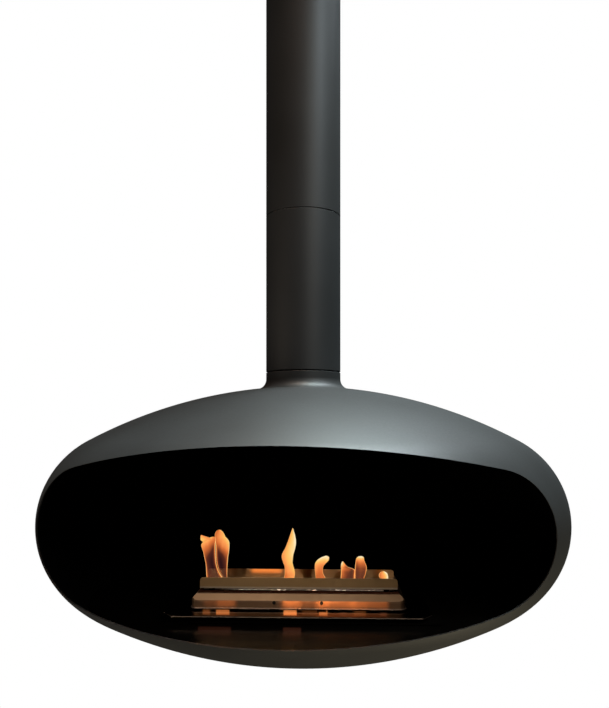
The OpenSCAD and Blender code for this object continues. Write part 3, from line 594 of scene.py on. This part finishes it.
spinning = bpy.data.node_groups.new("spin a section", "GeometryNodeTree")
value_input(spinning, "Section", "NodeSocketGeometry")
steps_socket = value_input(spinning, "Steps round", "NodeSocketInt")
finish_socket = value_input(spinning, "Finish", "NodeSocketMaterial")
spinning.interface.new_socket("Spun", in_out="OUTPUT", socket_type="NodeSocketGeometry")
nt = spinning.nodes
given = nt.new("NodeGroupInput")
count = nt.new("GeometryNodeAttributeDomainSize")
wire(given.outputs["Section"], count.inputs["Geometry"])
points = count.outputs["Point Count"]
grid = node_with(spinning, "GeometryNodeMeshGrid", Size_X=1, Size_Y=1)
wire(points, grid.inputs["Vertices X"])
wire(maths(spinning, "ADD", given.outputs["Steps round"], 1), grid.inputs["Vertices Y"])
at = nt.new("ShaderNodeSeparateXYZ")
wire(nt.new("GeometryNodeInputPosition").outputs[0], at.inputs[0])
column = maths(spinning, "MULTIPLY", maths(spinning, "ADD", at.outputs["X"], 0.5),
               maths(spinning, "SUBTRACT", points, 1))
turn = maths(spinning, "MULTIPLY", maths(spinning, "ADD", at.outputs["Y"], 0.5), 2 * math.pi)
sample = nt.new("GeometryNodeSampleIndex")
sample.data_type = "FLOAT_VECTOR"
wire(given.outputs["Section"], sample.inputs["Geometry"])
wire(nt.new("GeometryNodeInputPosition").outputs[0], sample.inputs["Value"])
wire(maths(spinning, "ROUND", column), sample.inputs["Index"])
section_at = nt.new("ShaderNodeSeparateXYZ")
wire(sample.outputs["Value"], section_at.inputs[0])
spun_at = nt.new("ShaderNodeCombineXYZ")
for axis, wave in (("X", "COSINE"), ("Y", "SINE")):
    reach = maths(spinning, "MULTIPLY", section_at.outputs["X"], maths(spinning, wave, turn))
    wire(reach, spun_at.inputs[axis])
wire(section_at.outputs["Z"], spun_at.inputs["Z"])
moved = nt.new("GeometryNodeSetPosition")
wire(grid.outputs["Mesh"], moved.inputs["Geometry"])
wire(spun_at.outputs[0], moved.inputs["Position"])
closed = node_with(spinning, "GeometryNodeMergeByDistance", Distance=1e-6)
wire(moved.outputs[0], closed.inputs["Geometry"])
painted = finished(spinning, closed.outputs[0], given)
done = nt.new("NodeGroupOutput")
wire(painted, done.inputs["Spun"])
print("spinning tree:", len(nt), "nodes")

# %% Helper that spins a piece


def section_object(name, points):
    mesh = bpy.data.meshes.new(name)
    mesh.from_pydata([(x, 0, z) for x, z in points], [(i, i + 1) for i in range(len(points) - 1)], [])
    return add(name, mesh)


def outwards(mesh):
    # Turns the faces of a closed form so that they look outwards.
    shape = bmesh.new()
    shape.from_mesh(mesh)
    bmesh.ops.recalc_face_normals(shape, faces=shape.faces)
    shape.to_mesh(mesh)
    shape.free()


def spun(name, points, paint, steps=192):
    piece = section_object(name, points)
    spin = piece.modifiers.new("spin", "NODES")
    spin.node_group = spinning
    spin[steps_socket.identifier] = steps
    spin[finish_socket.identifier] = paint
    settle(piece)
    outwards(piece.data)
    return piece


def arc(centre_x, centre_z, radius, start, end, steps):
    # Points on an arc. Angles are in radians from +X towards +Z.
    return [(centre_x + radius * math.cos(start + (end - start) * i / steps),
             centre_z + radius * math.sin(start + (end - start) * i / steps)) for i in range(steps + 1)]


print("a spun piece takes", len(spinning.interface.items_tree), "sockets")

# %% [markdown]
# ## The pod's section
# The photo's outline fits five arcs that touch smoothly: a shallow crown, a tight rolled side, a
# slightly deeper bowl, and a small hollow blend up to the neck. The wall is 3 mm, so the inner
# section is the same rule with the wall taken off each arc.

# %% Draw the pod's section
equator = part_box("pod_upper_shell")[0].z
pod_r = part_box("pod_upper_shell")[1].x
pod_rise, pod_drop, side_r = 0.231, 0.234, 0.156
pole_r, neck_blend, wall = 0.066, 0.018, 0.003
neck_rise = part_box("pod_upper_shell")[1].z - equator
pod_r = round(pod_r, 4)
side_x = pod_r - side_r


def crown_radius(offset, end_r, rise):
    return (offset ** 2 + rise ** 2 - end_r ** 2) / (2 * (rise - end_r))


crown_r = crown_radius(side_x, side_r, pod_rise)
bowl_r = crown_radius(side_x, side_r, pod_drop)
crown_z = pod_rise - crown_r
bowl_z = bowl_r - pod_drop
blend_x = pole_r + neck_blend
blend_z = crown_z + math.sqrt((crown_r + neck_blend) ** 2 - blend_x ** 2)
crown_turn = math.asin(side_x / (crown_r - side_r))
bowl_turn = math.asin(side_x / (bowl_r - side_r))
blend_turn = math.asin(blend_x / (crown_r + neck_blend))
quarter = math.pi / 2


def pod_skin(inset, top):
    # From the bottom of the bowl, round the side and over the crown to the neck's end.
    bowl = arc(0, bowl_z, bowl_r - inset, -quarter, -quarter + bowl_turn, 46)
    side = arc(side_x, 0, side_r - inset, -quarter + bowl_turn, quarter - crown_turn, 54)
    crown = arc(0, crown_z, crown_r - inset, quarter - crown_turn, quarter - blend_turn, 38)
    hollow = arc(blend_x, blend_z, neck_blend + inset, -quarter - blend_turn, -2 * quarter, 14)
    return bowl + side[1:] + crown[1:] + hollow[1:] + [(pole_r - inset, top)]


rim = 0.0004
outer_skin = pod_skin(0, neck_rise - rim)
inner_skin = pod_skin(wall, neck_rise - rim)
outer_skin[0] = (0, -pod_drop)
inner_skin[0] = (0, wall - pod_drop)
pod_section = outer_skin + [(pole_r - rim, neck_rise), (pole_r - wall + rim, neck_rise)] + inner_skin[::-1]
print("section of", len(pod_section), "points; crown and bowl radius", round(crown_r, 3), round(bowl_r, 3))

# %% [markdown]
# ## The mouth
# The mouth is cut with a saw that moves straight back, so from the front its outline is a plain
# eye of tangent arcs, while from the side it wraps round the pod. A cutter of that outline is
# taken out of the shell by a Mesh Boolean node.

# %% Cut the mouth out of the spun shell
mouth_half_w, mouth_end_r, mouth_up, mouth_down, mouth_mid = 0.389, 0.101, 0.134, 0.126, 0.001


def eye_outline(half_w, end_r, up, down, steps):
    offset = half_w - end_r
    up_r = crown_radius(offset, end_r, up)
    down_r = crown_radius(offset, end_r, down)
    up_turn = math.asin(offset / (up_r - end_r))
    down_turn = math.asin(offset / (down_r - end_r))
    top = arc(0, up - up_r, up_r, quarter - up_turn, quarter + up_turn, 2 * steps)
    left = arc(-offset, 0, end_r, quarter + up_turn, 3 * quarter - down_turn, steps)
    low = arc(0, down_r - down, down_r, 3 * quarter - down_turn, 3 * quarter + down_turn, 2 * steps)
    right = arc(offset, 0, end_r, -quarter + down_turn, quarter - up_turn, steps)
    return top[:-1] + left[:-1] + low[:-1] + right[:-1]


mouth = [(x, z + mouth_mid) for x, z in eye_outline(
    mouth_half_w, mouth_end_r, mouth_up - mouth_mid, mouth_down + mouth_mid, 48)]
saw_start = -0.6
shape = bmesh.new()
front = [shape.verts.new((x, saw_start, z)) for x, z in mouth]
back = [shape.verts.new((x, 0, z)) for x, z in mouth]
shape.faces.new(front)
shape.faces.new(back[::-1])
for i in range(len(mouth)):
    j = (i + 1) % len(mouth)
    shape.faces.new((front[j], front[i], back[i], back[j]))
bmesh.ops.recalc_face_normals(shape, faces=shape.faces)
cutter = add("mouth cutter", mesh_from(shape, "mouth cutter"))

cutting = bpy.data.node_groups.new("saw the mouth out", "GeometryNodeTree")
value_input(cutting, "Shell", "NodeSocketGeometry")
cutter_socket = value_input(cutting, "Cutter", "NodeSocketObject")
cutting.interface.new_socket("Cut shell", in_out="OUTPUT", socket_type="NodeSocketGeometry")
given = cutting.nodes.new("NodeGroupInput")
info = cutting.nodes.new("GeometryNodeObjectInfo")
wire(given.outputs["Cutter"], info.inputs["Object"])
saw = cutting.nodes.new("GeometryNodeMeshBoolean")
saw.operation = "DIFFERENCE"
saw.solver = "EXACT"
wire(given.outputs["Shell"], saw.inputs["Mesh 1"])
wire(info.outputs["Geometry"], saw.inputs["Mesh 2"])
done = cutting.nodes.new("NodeGroupOutput")
wire(saw.outputs["Mesh"], done.inputs["Cut shell"])

pod_shell = spun("pod-shell", pod_section, graphite, 288)
cut = pod_shell.modifiers.new("saw", "NODES")
cut.node_group = cutting
cut[cutter_socket.identifier] = cutter
settle(pod_shell)
bpy.data.objects.remove(cutter)
print("pod shell:", len(pod_shell.data.polygons), "faces")

# %% [markdown]
# ## True normals
# A spun shell is perfectly smooth, but the saw leaves slivers whose shading would show as
# streaks. The section's arcs say exactly which way each point of the skin looks, so those
# directions are written to the mesh. The same sum says how deep a point lies in the wall, and
# that tells outside, inside and cut edge apart.

# %% Write the skin's normals and paint inside and outside


def skin_at(x, y, z):
    # Distance outside the pod's outer skin, and the direction that the skin looks in.
    r = np.hypot(x, y)
    side = (np.hypot(r - side_x, z) - side_r, r - side_x, z)
    crown = (np.hypot(r, z - crown_z) - crown_r, r, z - crown_z)
    bowl = (np.hypot(r, z - bowl_z) - bowl_r, r, z - bowl_z)
    hollow = (neck_blend - np.hypot(r - blend_x, z - blend_z), blend_x - r, blend_z - z)
    neck = (r - pole_r, np.ones_like(r), np.zeros_like(r))
    from_top = np.arctan2(r, z - crown_z)
    on_neck = z >= blend_z
    on_hollow = ~on_neck & (z > 0) & (from_top < blend_turn)
    on_crown = ~on_neck & ~on_hollow & (z > 0) & (from_top < crown_turn)
    on_bowl = (z < 0) & (np.arctan2(r, bowl_z - z) < bowl_turn)
    picks = [on_neck, on_hollow, on_crown, on_bowl]
    parts = [np.select(picks, [neck[i], hollow[i], crown[i], bowl[i]], side[i]) for i in range(3)]
    depth, out, up = parts
    long = np.maximum(np.hypot(out, up), 1e-9)
    far = np.maximum(r, 1e-9)
    return depth, np.stack([out / long * x / far, out / long * y / far, up / long], 1)


def read_all(elements, label, kind=int, width=1):
    values = np.empty(len(elements) * width, kind)
    elements.foreach_get(label, values)
    return values.reshape(-1, width) if width > 1 else values


mesh = pod_shell.data
places = read_all(mesh.vertices, "co", float, 3)
depth, facing = skin_at(*places.T)
corner_vertex = read_all(mesh.loops, "vertex_index")
starts = read_all(mesh.polygons, "loop_start")
totals = read_all(mesh.polygons, "loop_total")
corner_depth = depth[corner_vertex]
shallow = np.maximum.reduceat(corner_depth, starts)
deep = np.minimum.reduceat(corner_depth, starts)
outside = deep > -wall / 4
inside = shallow < -3 * wall / 4
is_top = places[corner_vertex[starts], 2] > neck_rise - 2 * rim
mesh.materials.clear()
for paint in (graphite, black_and_shade, cut_edge_and_highlight):
    mesh.materials.append(paint)
paint_of_face = np.where(outside | is_top, 0, np.where(inside, 1, 2))
mesh.polygons.foreach_set("material_index", paint_of_face.astype(np.int32))
corner_face = np.repeat(np.arange(len(starts)), totals)
corner_normals = read_all(mesh.polygons, "normal", float, 3)[corner_face]
skin_out = outside[corner_face] & ~is_top[corner_face]
skin_in = inside[corner_face]
corner_normals[skin_out] = facing[corner_vertex[skin_out]]
corner_normals[skin_in] = -facing[corner_vertex[skin_in]]
mesh.transform(Matrix.Translation((0, 0, equator)))
mesh.normals_split_custom_set(corner_normals.tolist())
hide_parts("pod_upper_shell", "pod_lower_shell")
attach(pod_shell, "pod")
print("faces painted graphite, soot, cut edge:", np.bincount(paint_of_face).tolist())

# %% [markdown]
# ## Pole, cover and collar
# The pole is round tube in two lengths that butt over a hidden sleeve, so a hairline shows
# between them. Its ends are broken a little. The cover is a spun bell that hides the ceiling
# plate, and its collar clamps on the pole.

# %% Spin the pole, the cover and the collar


def ring(inner_r, outer_r, low, high, break_r):
    b = break_r
    return [
        (inner_r, low + b), (inner_r + b, low), (outer_r - b, low), (outer_r, low + b),
        (outer_r, high - b), (outer_r - b, high), (inner_r + b, high), (inner_r, high - b),
        (inner_r, low + b)]


def sharp_at(piece, degrees):
    piece.data.set_sharp_from_angle(angle=math.radians(degrees))


tube_t = 0.003
for node in ("upper_pole", "lower_pole"):
    low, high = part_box(node)
    pole = spun(node.replace("_", "-"), ring(high.x - tube_t, high.x, low.z, high.z, 0.0004), graphite)
    sharp_at(pole, 30)
    stands_for(pole, node)

low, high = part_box("ceiling_cover")
bend, sheet_t, hole_r = 0.008, 0.0015, 0.0665
bell = [(high.x - sheet_t, high.z), (high.x, high.z)]
bell += arc(high.x - bend, low.z + bend, bend, 0, -quarter, 12)
bell += [(hole_r, low.z), (hole_r, low.z + sheet_t)]
bell += arc(high.x - bend, low.z + bend, bend - sheet_t, -quarter, 0, 12)
bell += [(high.x - sheet_t, high.z)]
cover = spun("ceiling-cover", bell, graphite)
sharp_at(cover, 40)
stands_for(cover, "ceiling_cover")
softened("cover_collar", 0.0004, graphite)
print("pole, cover and collar made")

# %% [markdown]
# ## Bearing balls
# The thrust bearing has twelve balls in a cage. They're instances of one ball on twelve points of a
# circle, made real at the end.

# %% Place the bearing balls
balls_low, balls_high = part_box("bearing_balls")
ball_r = (balls_high.z - balls_low.z) / 2
ball_circle = balls_high.x - ball_r
ball_tree = bpy.data.node_groups.new("ring of balls", "GeometryNodeTree")
value_input(ball_tree, "Base", "NodeSocketGeometry")
ball_inputs = [
    (value_input(ball_tree, "Balls", "NodeSocketInt"), 12),
    (value_input(ball_tree, "Circle radius", "NodeSocketFloat"), ball_circle),
    (value_input(ball_tree, "Ball radius", "NodeSocketFloat"), ball_r),
    (value_input(ball_tree, "Height", "NodeSocketVector"), (0, 0, (balls_low.z + balls_high.z) / 2)),
    (value_input(ball_tree, "Finish", "NodeSocketMaterial"), ground)]
ball_tree.interface.new_socket("Balls made", in_out="OUTPUT", socket_type="NodeSocketGeometry")
nt = ball_tree.nodes
given = nt.new("NodeGroupInput")
circle = nt.new("GeometryNodeMeshCircle")
wire(given.outputs["Balls"], circle.inputs["Vertices"])
wire(given.outputs["Circle radius"], circle.inputs["Radius"])
one = node_with(ball_tree, "GeometryNodeMeshUVSphere", Segments=32, Rings=16)
wire(given.outputs["Ball radius"], one.inputs["Radius"])
each = nt.new("GeometryNodeInstanceOnPoints")
wire(circle.outputs["Mesh"], each.inputs["Points"])
wire(one.outputs["Mesh"], each.inputs["Instance"])
real = nt.new("GeometryNodeRealizeInstances")
wire(each.outputs[0], real.inputs[0])
raised = nt.new("GeometryNodeTransform")
wire(real.outputs[0], raised.inputs["Geometry"])
wire(given.outputs["Height"], raised.inputs["Translation"])
painted = finished(ball_tree, raised.outputs[0], given)
done = nt.new("NodeGroupOutput")
wire(painted, done.inputs["Balls made"])
balls = section_object("bearing-balls", [(0, 0), (0.001, 0)])
modifier = balls.modifiers.new("balls", "NODES")
modifier.node_group = ball_tree
for socket, value in ball_inputs:
    modifier[socket.identifier] = value
settle(balls)
stands_for(balls, "bearing_balls")
print("balls:", len(balls.data.polygons), "faces")

# %% [markdown]
# ## The burner's own directions
# The burner stands a little askew in the pod, as the photo shows. So the pad and the flames are
# laid out along the slot and across it, from the slot's middle.

# %% Find the slot
askew = math.radians(4)
along_slot = Vector((math.cos(askew), math.sin(askew), 0))
out_of_slot = Vector((math.sin(askew), -math.cos(askew), 0))
wool_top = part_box("wool_retainer")[1].z
slot_middle = (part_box("wool_retainer")[0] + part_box("wool_retainer")[1]) / 2
slot_middle.z = 0


def in_slot(along, out, z):
    return slot_middle + along_slot * along + out_of_slot * out + Vector((0, 0, z))


print("slot's middle:", [round(v, 4) for v in slot_middle])

# %% [markdown]
# ## The wool pad
# The pad of ceramic fibre fills the slot's bottom. It is soft, so its top swells a little
# between the bars of the sheet that holds it, and its edges are rounded.

# %% Make the wool pad
low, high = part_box("ceramic_wool")
across = high - low
twist = math.cos(2 * askew)
pad_w = (across.x * math.cos(askew) - across.y * math.sin(askew)) / twist
pad_d = (across.y * math.cos(askew) - across.x * math.sin(askew)) / twist
shape = bmesh.new()
bmesh.ops.create_grid(shape, x_segments=110, y_segments=30, size=0.5)
for vertex in shape.verts:
    x, y = vertex.co.x * 2, vertex.co.y * 2
    droop = 1 - max(0, (abs(x) - 0.96) / 0.04) ** 2 - max(0, (abs(y) - 0.88) / 0.12) ** 2
    ripple = 0.5 + 0.25 * math.sin(91 * x + 3 * y) + 0.25 * math.sin(23 * y + 17 * x)
    top = high.z - 0.0012 * ripple - 0.005 * (1 - max(0.0, droop))
    vertex.co = in_slot(x * pad_w / 2, -y * pad_d / 2, top)
rim_edges = [e for e in shape.edges if e.is_boundary]
lowered = bmesh.ops.extrude_edge_only(shape, edges=rim_edges)
for vertex in (g for g in lowered["geom"] if isinstance(g, bmesh.types.BMVert)):
    vertex.co.z = low.z
bmesh.ops.contextual_create(shape, geom=[e for e in shape.edges if e.is_boundary])
bmesh.ops.recalc_face_normals(shape, faces=shape.faces)
for face in shape.faces:
    face.smooth = True
pad = add("ceramic-wool", mesh_from(shape, "ceramic-wool", wool))
sharp_at(pad, 60)
stands_for(pad, "ceramic_wool")
print("wool pad:", len(pad.data.polygons), "faces")

# %% [markdown]
# ## Fire
# An alcohol flame is a thin glowing skin round dark, unburnt vapour: its rims look pale, its
# body orange, and its heart is see-through. It hovers: just above the wick it burns blue and
# can't be seen. Each flame here is a closed tongue, carried along a row of stations from its foot
# to its tip. It stores how near the rim a point lies and how bright the body burns there, and
# the finish reads both and fades the foot away.

# %% Make the fire's finish
fire, tree = bare_material("alcohol flame")


def stored(tree, label):
    node = tree.nodes.new("ShaderNodeAttribute")
    node.attribute_name = label
    return node.outputs["Fac"]


near_rim = stored(tree, "near_rim")
rims = maths(tree, "MULTIPLY", maths(tree, "POWER", near_rim, 5.5), 0.98)
halo = maths(tree, "MULTIPLY", maths(tree, "POWER", near_rim, 2), 0.5)
licks = maths(tree, "SUBTRACT", grain(tree, place_on(tree, (70, 70, 26)), 1.0, 2), 0.5)
heat = maths(tree, "MAXIMUM", maths(tree, "MAXIMUM", rims, halo), stored(tree, "body"))
heat = maths(tree, "ADD", heat, maths(tree, "MULTIPLY", licks, 0.35))
colour = ramp(tree, heat, [
    (0.0, (0.055, 0.016, 0.018)), (0.25, (0.13, 0.03, 0.016)), (0.5, (0.72, 0.17, 0.04)),
    (0.7, (1.0, 0.34, 0.09)), (0.84, (1.0, 0.55, 0.13)), (0.93, (1.0, 0.68, 0.28)),
    (1.0, (1.0, 0.85, 0.56))])
glow = tree.nodes.new("ShaderNodeEmission")
wire(colour, glow.inputs["Color"])
clear = tree.nodes.new("ShaderNodeBsdfTransparent")
through = tree.nodes.new("ShaderNodeMixShader")
up_from_wick = tree.nodes.new("ShaderNodeSeparateXYZ")
wire(place_on(tree), up_from_wick.inputs[0])
seen = spread(tree, up_from_wick.outputs["Z"], 0, 1, wool_top + 0.012, wool_top + 0.02)
solid = spread(tree, heat, 0.25, 0.95, 0.05, 0.6)
wire(maths(tree, "MULTIPLY", seen, solid), through.inputs["Fac"])
wire(clear.outputs[0], through.inputs[1])
wire(glow.outputs[0], through.inputs[2])
out = tree.nodes.new("ShaderNodeOutputMaterial")
wire(through.outputs[0], out.inputs["Surface"])
print(fire.name, len(tree.nodes), "nodes")

# %% [markdown]
# ## Where the flames stand
# All flames stand in the slot, so a point of the picture lies on the upright plane through the
# slot's middle. A station is read off the picture as a row with the flame's left and right edge
# there, and how bright its body burns. The camera's own numbers bring it to that plane.

# %% Helpers that place a flame


def from_photo(column, row, out=0.0):
    # Out is how far the upright plane lies in front of the slot's middle.
    side = (column - pole_px) / focal_px
    ray = Vector((side * math.cos(camera_turn) - math.sin(camera_turn),
                  side * math.sin(camera_turn) + math.cos(camera_turn),
                  (horizon_px - row) / focal_px))
    reach = ((slot_middle - camera.location).dot(out_of_slot) + out) / ray.dot(out_of_slot)
    place = camera.location + reach * ray
    return (place - slot_middle).dot(along_slot), place.z


def smooth_stations(stations, steps):
    # Catmull-Rom through the stations, so that a flame has no corners.
    ends = [stations[0], *stations, stations[-1]]
    fine = []
    for i in range(1, len(ends) - 2):
        before, start, end, after = (np.array(ends[i + k], float) for k in (-1, 0, 1, 2))
        for j in range(steps):
            t = j / steps
            fine.append(0.5 * (2 * start + (end - before) * t
                               + (2 * before - 5 * start + 4 * end - after) * t * t
                               + (3 * start - before - 3 * end + after) * t ** 3))
    return fine + [np.array(stations[-1], float)]


def tongue(name, stations, lean=0.0, depth=0.45, nearer=0.0):
    # A station is (row, left, right, body). Lean makes the right side burn brighter, or the left.
    shape = bmesh.new()
    rim_layer = shape.verts.layers.float.new("near_rim")
    body_layer = shape.verts.layers.float.new("body")
    around, loops = 32, []
    for row, left, right, body in smooth_stations(stations, 5):
        left_x, z = from_photo(left, row)
        right_x, z = from_photo(right, row)
        half = max((right_x - left_x) / 2, 0.0001)
        loop = []
        for k in range(around):
            angle = 2 * math.pi * (k + 0.5) / around
            aside, near = math.cos(angle), math.sin(angle)
            vertex = shape.verts.new(in_slot(
                (left_x + right_x) / 2 + half * aside, nearer + half * depth * near, z))
            vertex[rim_layer] = abs(aside)
            vertex[body_layer] = body + lean * aside
            loop.append(vertex)
        loops.append(loop)
    for low_loop, high_loop in zip(loops, loops[1:]):
        for k in range(around):
            n = (k + 1) % around
            shape.faces.new((low_loop[k], low_loop[n], high_loop[n], high_loop[k]))
    shape.faces.new(loops[0][::-1])
    shape.faces.new(loops[-1])
    bmesh.ops.recalc_face_normals(shape, faces=shape.faces)
    for face in shape.faces:
        face.smooth = True
    return add(name, mesh_from(shape, name, fire))


print("a pixel of the picture is", round(camera_away / focal_px * 1000, 2), "mm at the pole")

# %% Make the flames
foot_row = 590.5
flames = [
    tongue("flame-left-lobe", [
        (foot_row, 207, 223.5, 0.1), (578.4, 207, 223, 0.1), (573.7, 206.7, 220.4, 0.1),
        (569.3, 206.5, 218.2, 0.08), (563.4, 206, 216.6, 0.08), (557.5, 204.8, 216, 0.14),
        (551.7, 203.6, 215.8, 0.28), (546.5, 201.8, 215.7, 0.44), (544, 201.8, 215.7, 0.54),
        (541.5, 203.6, 215.9, 0.62), (539.4, 206.4, 216.2, 0.68), (537.6, 209.6, 216, 0.7),
        (536.6, 212.4, 215.4, 0.7)], -0.2, 0.4, 0.003),
    tongue("flame-right-lobe", [
        (foot_row, 223.6, 226.9, 0.1), (578.4, 223, 226.9, 0.1), (573.7, 220.4, 226.9, 0.1),
        (569.3, 218.2, 227, 0.08), (563.4, 216.6, 227.3, 0.1), (557.5, 216, 227.8, 0.18),
        (551.7, 215.8, 228.7, 0.34), (546.5, 215.6, 229.2, 0.5), (542.1, 215.2, 228.9, 0.62),
        (539.2, 214.8, 227.2, 0.66), (537, 214.6, 225.2, 0.68), (534, 214.8, 223.8, 0.64),
        (531.8, 215.8, 222.3, 0.62), (530.6, 217.2, 220.8, 0.62), (530, 218.6, 219.6, 0.62)],
        0.2, 0.4, -0.003),
    tongue("flame-wisp", [
        (541.2, 203.4, 204.6, 0.7), (539.8, 201.6, 208.4, 0.74), (538.4, 201.2, 212, 0.74),
        (536.9, 201.2, 209.6, 0.7), (535.5, 201.3, 205.2, 0.66), (534.6, 201.6, 202.8, 0.62)],
        -0.1, 0.3, 0.006),
    tongue("flame-slim", [
        (foot_row, 284.2, 294.5, 0.58), (578.4, 284.2, 294.4, 0.58), (574.5, 284.7, 294.9, 0.61),
        (570.8, 284.8, 294.7, 0.69), (566.3, 284.6, 293.4, 0.73), (562.5, 283.2, 292.6, 0.77),
        (557.6, 281.8, 293, 0.8), (553.9, 282.2, 293.6, 0.83), (549, 284.8, 295, 0.86),
        (544.3, 286.8, 295.9, 0.87), (540, 288.4, 295.9, 0.87), (535.5, 289.9, 295.1, 0.87),
        (531.7, 291.2, 294.1, 0.87), (528.2, 292.5, 293, 0.87)], 0.13, 0.5),
    tongue("flame-hook", [
        (foot_row, 315.8, 326, 0.45), (578.9, 315.8, 325.6, 0.45), (574.6, 315.4, 323.6, 0.5),
        (570.7, 315, 322.8, 0.58), (566.4, 314.8, 323.4, 0.66), (563.4, 315.2, 325.6, 0.76),
        (561, 316.6, 328.2, 0.86), (559, 318.8, 329, 0.94), (557.3, 321.6, 329.1, 0.98),
        (556.2, 324.4, 328, 0.98), (555.8, 325.8, 327, 0.98)], -0.06, 0.5),
    tongue("flame-small-peak", [
        (foot_row, 340.6, 354.6, 0.22), (578.9, 340.6, 354.6, 0.24), (575, 341, 354.6, 0.28),
        (571.5, 341, 355, 0.3), (569.4, 341, 354.6, 0.38), (568.2, 341, 352.2, 0.44),
        (567, 340.9, 348.2, 0.5), (565.3, 341, 346.2, 0.7), (563.2, 341.4, 344.6, 0.86),
        (561.2, 342.2, 343.2, 0.95)], -0.22, 0.4, 0.002),
    tongue("flame-broad-peak", [
        (foot_row, 354.8, 364.2, 0.24), (578.9, 354.8, 364.2, 0.24), (575.4, 354.8, 365.4, 0.24),
        (571, 354.8, 366.4, 0.26), (566.6, 355.2, 366.6, 0.34), (563, 355.6, 365.2, 0.46),
        (560, 356, 364.2, 0.66), (558, 356.8, 364, 0.86), (556.8, 358.4, 363, 0.96),
        (556.4, 360, 361.6, 0.96)], 0.04, 0.4, -0.002),
    tongue("flame-round", [
        (foot_row, 382, 387.4, 0.7), (579.6, 381, 388, 0.74), (577.4, 379.4, 388.2, 0.76),
        (575, 378.9, 387.9, 0.74), (573, 379.8, 386.8, 0.78), (571.8, 381.2, 385.2, 0.8),
        (571.3, 382.6, 383.8, 0.8)], 0.28, 0.6)]
for flame in flames:
    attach(flame, "burner")
    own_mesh(flame)
print("flames:", len(flames), "highest", round(max(v.co.z for f in flames for v in f.data.vertices), 4))

# %% [markdown]
# ## The flames' light on the steel
# The flames glow on the deck's skirt, as soft copper patches, and their images stand on the
# mirror-bright plate in front of it. The thin tongues are too faint a light for that. So each
# flame has a small warm lamp before the skirt that shines on it, and one at the skirt that looks
# forward, which the plate mirrors. The first kind rides on the shutter, which takes it away from
# the skirt as it closes over the flames. The camera doesn't see the lamps.

# %% Light the steel from the flames


def flame_lamp(name, columns, heights, out, radiance, tint, facing, opening=180, body="burner"):
    # Heights are in millimetres above the base plate, and radiance in watts per square metre.
    left, right = (from_photo(column, skirt_row, out)[0] for column in columns)
    low, high = (plate_top + height / 1000 for height in heights)
    size = (right - left, high - low)
    place = in_slot((left + right) / 2, out, (high + low) / 2)
    watts = radiance * math.pi * size[0] * size[1]
    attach(area_lamp(name, place, facing * out_of_slot, size, watts, tint, opening), body)


def image_lamp(name, columns, image, tint):
    flame_lamp("image of the " + name, columns, (0.2, 5.4), at_skirt, image, tint, forward)


skirt_row = 610
forward, back = 1, -1
# How far out of the slot's middle the lamps stand.
behind_skirt, at_skirt, before_skirt, plate_edge, rear_guard = 0.052, 0.0608, 0.078, 0.0955, -0.022
orange, dim_red, ember = (1.0, 0.38, 0.13), (1.0, 0.4, 0.24), (1.0, 0.3, 0.16)
for name, columns, image, patch in [
        ("left rim", (202.6, 210.2), 0.8, 0.35), ("left body", (216, 229.4), 2.6, 1.1),
        ("slim", (283.6, 296.6), 4.2, 3), ("hook", (319, 327.5), 2.2, 3.4),
        ("hook rim", (302, 317), 0.4, 0.9), ("small peak", (333, 353), 0, 2),
        ("broad peak", (354, 366), 0.5, 1.8), ("round", (371, 386), 0, 1.1)]:
    if image:
        image_lamp(name, columns, image, orange)
        flame_lamp(
            "image under the lip, " + name, columns, (0.2, 2.2), behind_skirt, image, orange, forward)
    wider = (columns[0] - 2, columns[1] + 3)
    flame_lamp("glow of the " + name, wider, (5, 12.5), before_skirt, patch, orange, back, 45, "shutter")
image_lamp("small peak", (340.6, 346.4), 0.3, dim_red)
image_lamp("round", (380.3, 386.8), 0.3, dim_red)
flame_lamp("left body in the hearth", (198, 231), (-9, 1), plate_edge, 0.3, ember, forward)
flame_lamp("slim flame in the hearth", (283, 301), (-9, 1), plate_edge, 0.45, ember, forward)
flame_lamp("glow on the rear guard", (250, 280), (38, 49), rear_guard, 3.4, orange, back)

# The narrow lamp through the mouth lights the burner alone, or it would spill on the pod's crown.
lit = bpy.data.collections.new("lit through the mouth")
for piece in scene.objects:
    if piece.type == "MESH" and piece.get("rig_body") in ("burner", "shutter"):
        lit.objects.link(piece)
mouth_lamp.light_linking.receiver_collection = lit

# %% Print the solids' box and finish
print("solids' box ", [round(v, 4) for v in (*cad_low, *cad_high)])
